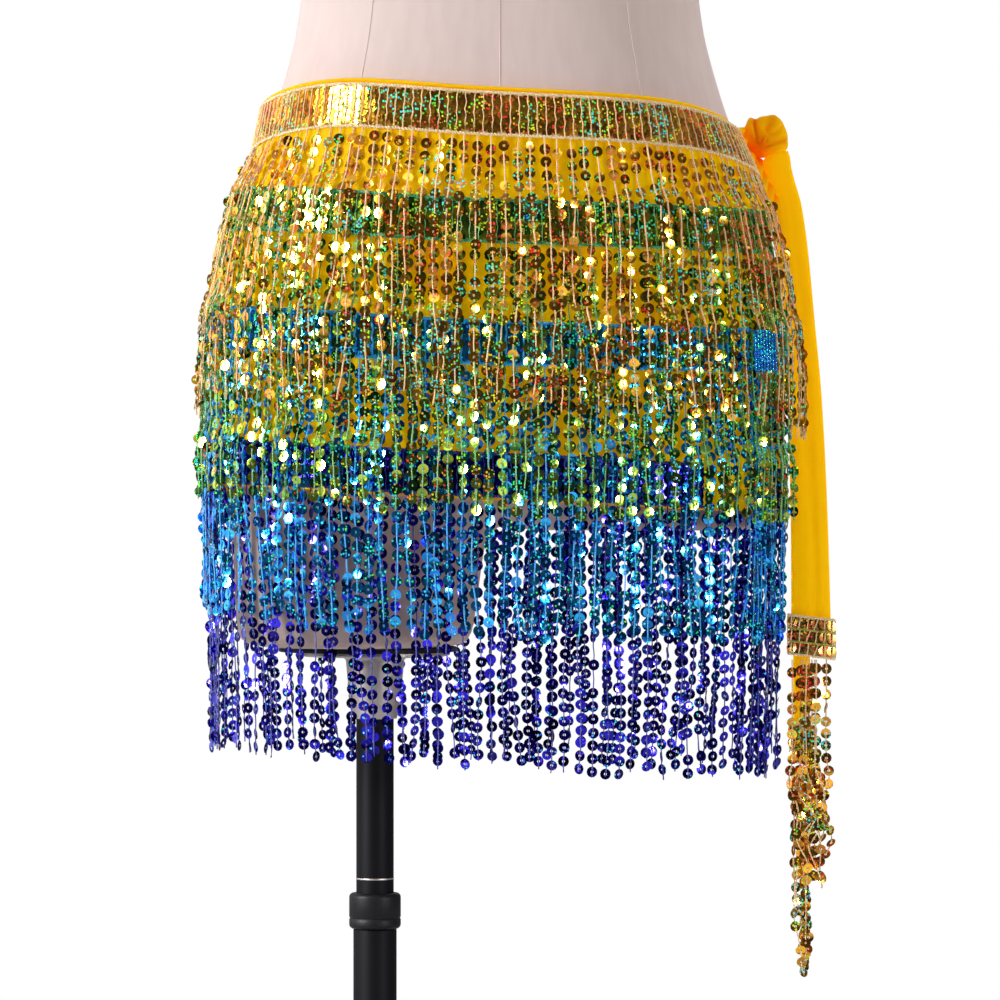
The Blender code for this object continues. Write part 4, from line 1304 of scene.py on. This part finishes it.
# ---- the whole scene --------------------------------------------------------
def sequin_finishes():
    """Each colour's foil, thread and cord, and the gold tail trims' own lines and darker foil."""
    # each foil: dark and light tones, the hues of its painted glints and their share, then roughness and coat
    # where given
    gold_foil = ((0.42, 0.17, 0.010), (1.0, 0.50, 0.035), (-0.08, 0.48), 0.42)
    olive_foil = ((0.14, 0.075, 0.01), (0.46, 0.27, 0.05), (-0.10, 0.34), 0.55, 0.22, 0.3)
    green_foil = ((0.03, 0.13, 0.02), (0.52, 0.66, 0.05), (0.0, 0.50), 0.40)
    turquoise_foil = ((0.0, 0.12, 0.46), (0.03, 0.46, 1.0), (0.38, 0.60), 0.30)
    blue_foil = ((0.004, 0.002, 0.12), (0.02, 0.012, 0.60), (0.58, 0.68), 0.16, 0.07, 0.15)
    turquoise = ((0.0, 0.32, 0.86), (0.02, 0.56, 1.0))
    # the last number given to a thread's finish is its painted glow, standing for light thrown on it by the
    # foil beside it
    return {
        "gold": {
            "sequin": sequin_finish("gold_foil", *gold_foil),
            "thread": thread_finish("pale_gold_thread", (0.74, 0.43, 0.17), (0.98, 0.76, 0.42), 0.08),
            "cord": thread_finish("pale_gold_cord", (0.66, 0.45, 0.17), (0.98, 0.84, 0.53), 0.08),
            "line": thread_finish("lime_cord", (0.26, 0.24, 0.005), (0.62, 0.58, 0.02)),
            "band": sequin_finish("olive_foil", *olive_foil),
        },
        "green": {
            "sequin": sequin_finish("green_foil", *green_foil),
            "thread": thread_finish("green_thread", (0.07, 0.34, 0.09), (0.32, 0.70, 0.22), 0.06),
            "cord": thread_finish("green_cord", (0.0, 0.26, 0.08), (0.07, 0.60, 0.24)),
        },
        "turquoise": {
            "sequin": sequin_finish("turquoise_foil", *turquoise_foil),
            "thread": thread_finish("turquoise_thread", *turquoise, 0.08),
            "cord": thread_finish("turquoise_cord", *turquoise, 0.10),
        },
        "blue": {
            "sequin": sequin_finish("royal_blue_foil", *blue_foil),
            "thread": thread_finish("royal_blue_thread", (0.01, 0.01, 0.20), (0.06, 0.06, 0.60)),
            "cord": thread_finish("royal_blue_cord", (0.01, 0.01, 0.18), (0.05, 0.05, 0.50)),
        },
    }


TRIMS = {"gold": "waist_trim_gold", "green": "trim_green", "turquoise": "trim_turquoise", "blue": "trim_blue"}
FRONT_HOMES = (0.03, 0.24, 0.38, 0.46, 0.58, 0.61, 0.86, 0.30, 0.52)
BACK_HOMES = (0.1, 0.3, 0.5, 0.7, 0.9)


def main():
    # painted glow: two copies of the cloth that differ only in how strongly it glows, stronger on the loose
    # tails, weaker on the form, the corners and the knot, where the cloth lies in more shade
    chiffon = chiffon_finish("yellow_chiffon_loose_strong_painted_glow", 0.30)
    chiffon_weaker_painted_glow = chiffon_finish("yellow_chiffon_on_form_weak_painted_glow", 0.17)
    canvas = canvas_finish()
    finishes = sequin_finishes()
    build_form(canvas)
    build_stand(enamel_finish(), moulded_finish(), steel_finish())

    panel_wall = Wall("skirt_panel")
    panel, hems = build_panel(panel_wall, chiffon_weaker_painted_glow)
    on_panel = [hems]
    for seed, (colour, node) in enumerate(TRIMS.items()):
        wall, own, slot = Wall(node), finishes[colour], colour + "_sequins"
        on_panel += build_trim(colour, node, wall, own, seed)
        on_panel += build_fringe(colour, "fringe_" + colour, own, slot, seed + 10)
        if colour == "turquoise":
            turquoise_wall = wall
    on_panel.append(build_folded_end(turquoise_wall, finishes["turquoise"]["sequin"]))
    on_panel.append(build_corner("corner_front", "tie_front", panel_wall, chiffon_weaker_painted_glow, 1))
    on_panel.append(build_corner("corner_back", "tie_back", panel_wall, chiffon_weaker_painted_glow, -1))

    build_knot(chiffon_weaker_painted_glow)
    build_tail("tail_front_cloth", "tail_front", chiffon, rise=8 * MM, folds=1.6, seed=1)
    build_tail("tail_back_cloth", "tail_back", chiffon, rise=14 * MM, folds=1.3, seed=2)
    gold = finishes["gold"]
    build_tail_trim("tail_front_trim", "tail_trim_front", 3, gold, 31)
    build_tail_trim("tail_back_trim", "tail_trim_back", 3, gold, 32)
    build_tail_fringe("tail_front", "tail_fringe_front", FRONT_HOMES, 15.0, gold, 41)
    build_tail_fringe("tail_back", "tail_fringe_back", BACK_HOMES, 4.0, gold, 42)
    build_stage()
    build_world()


main()
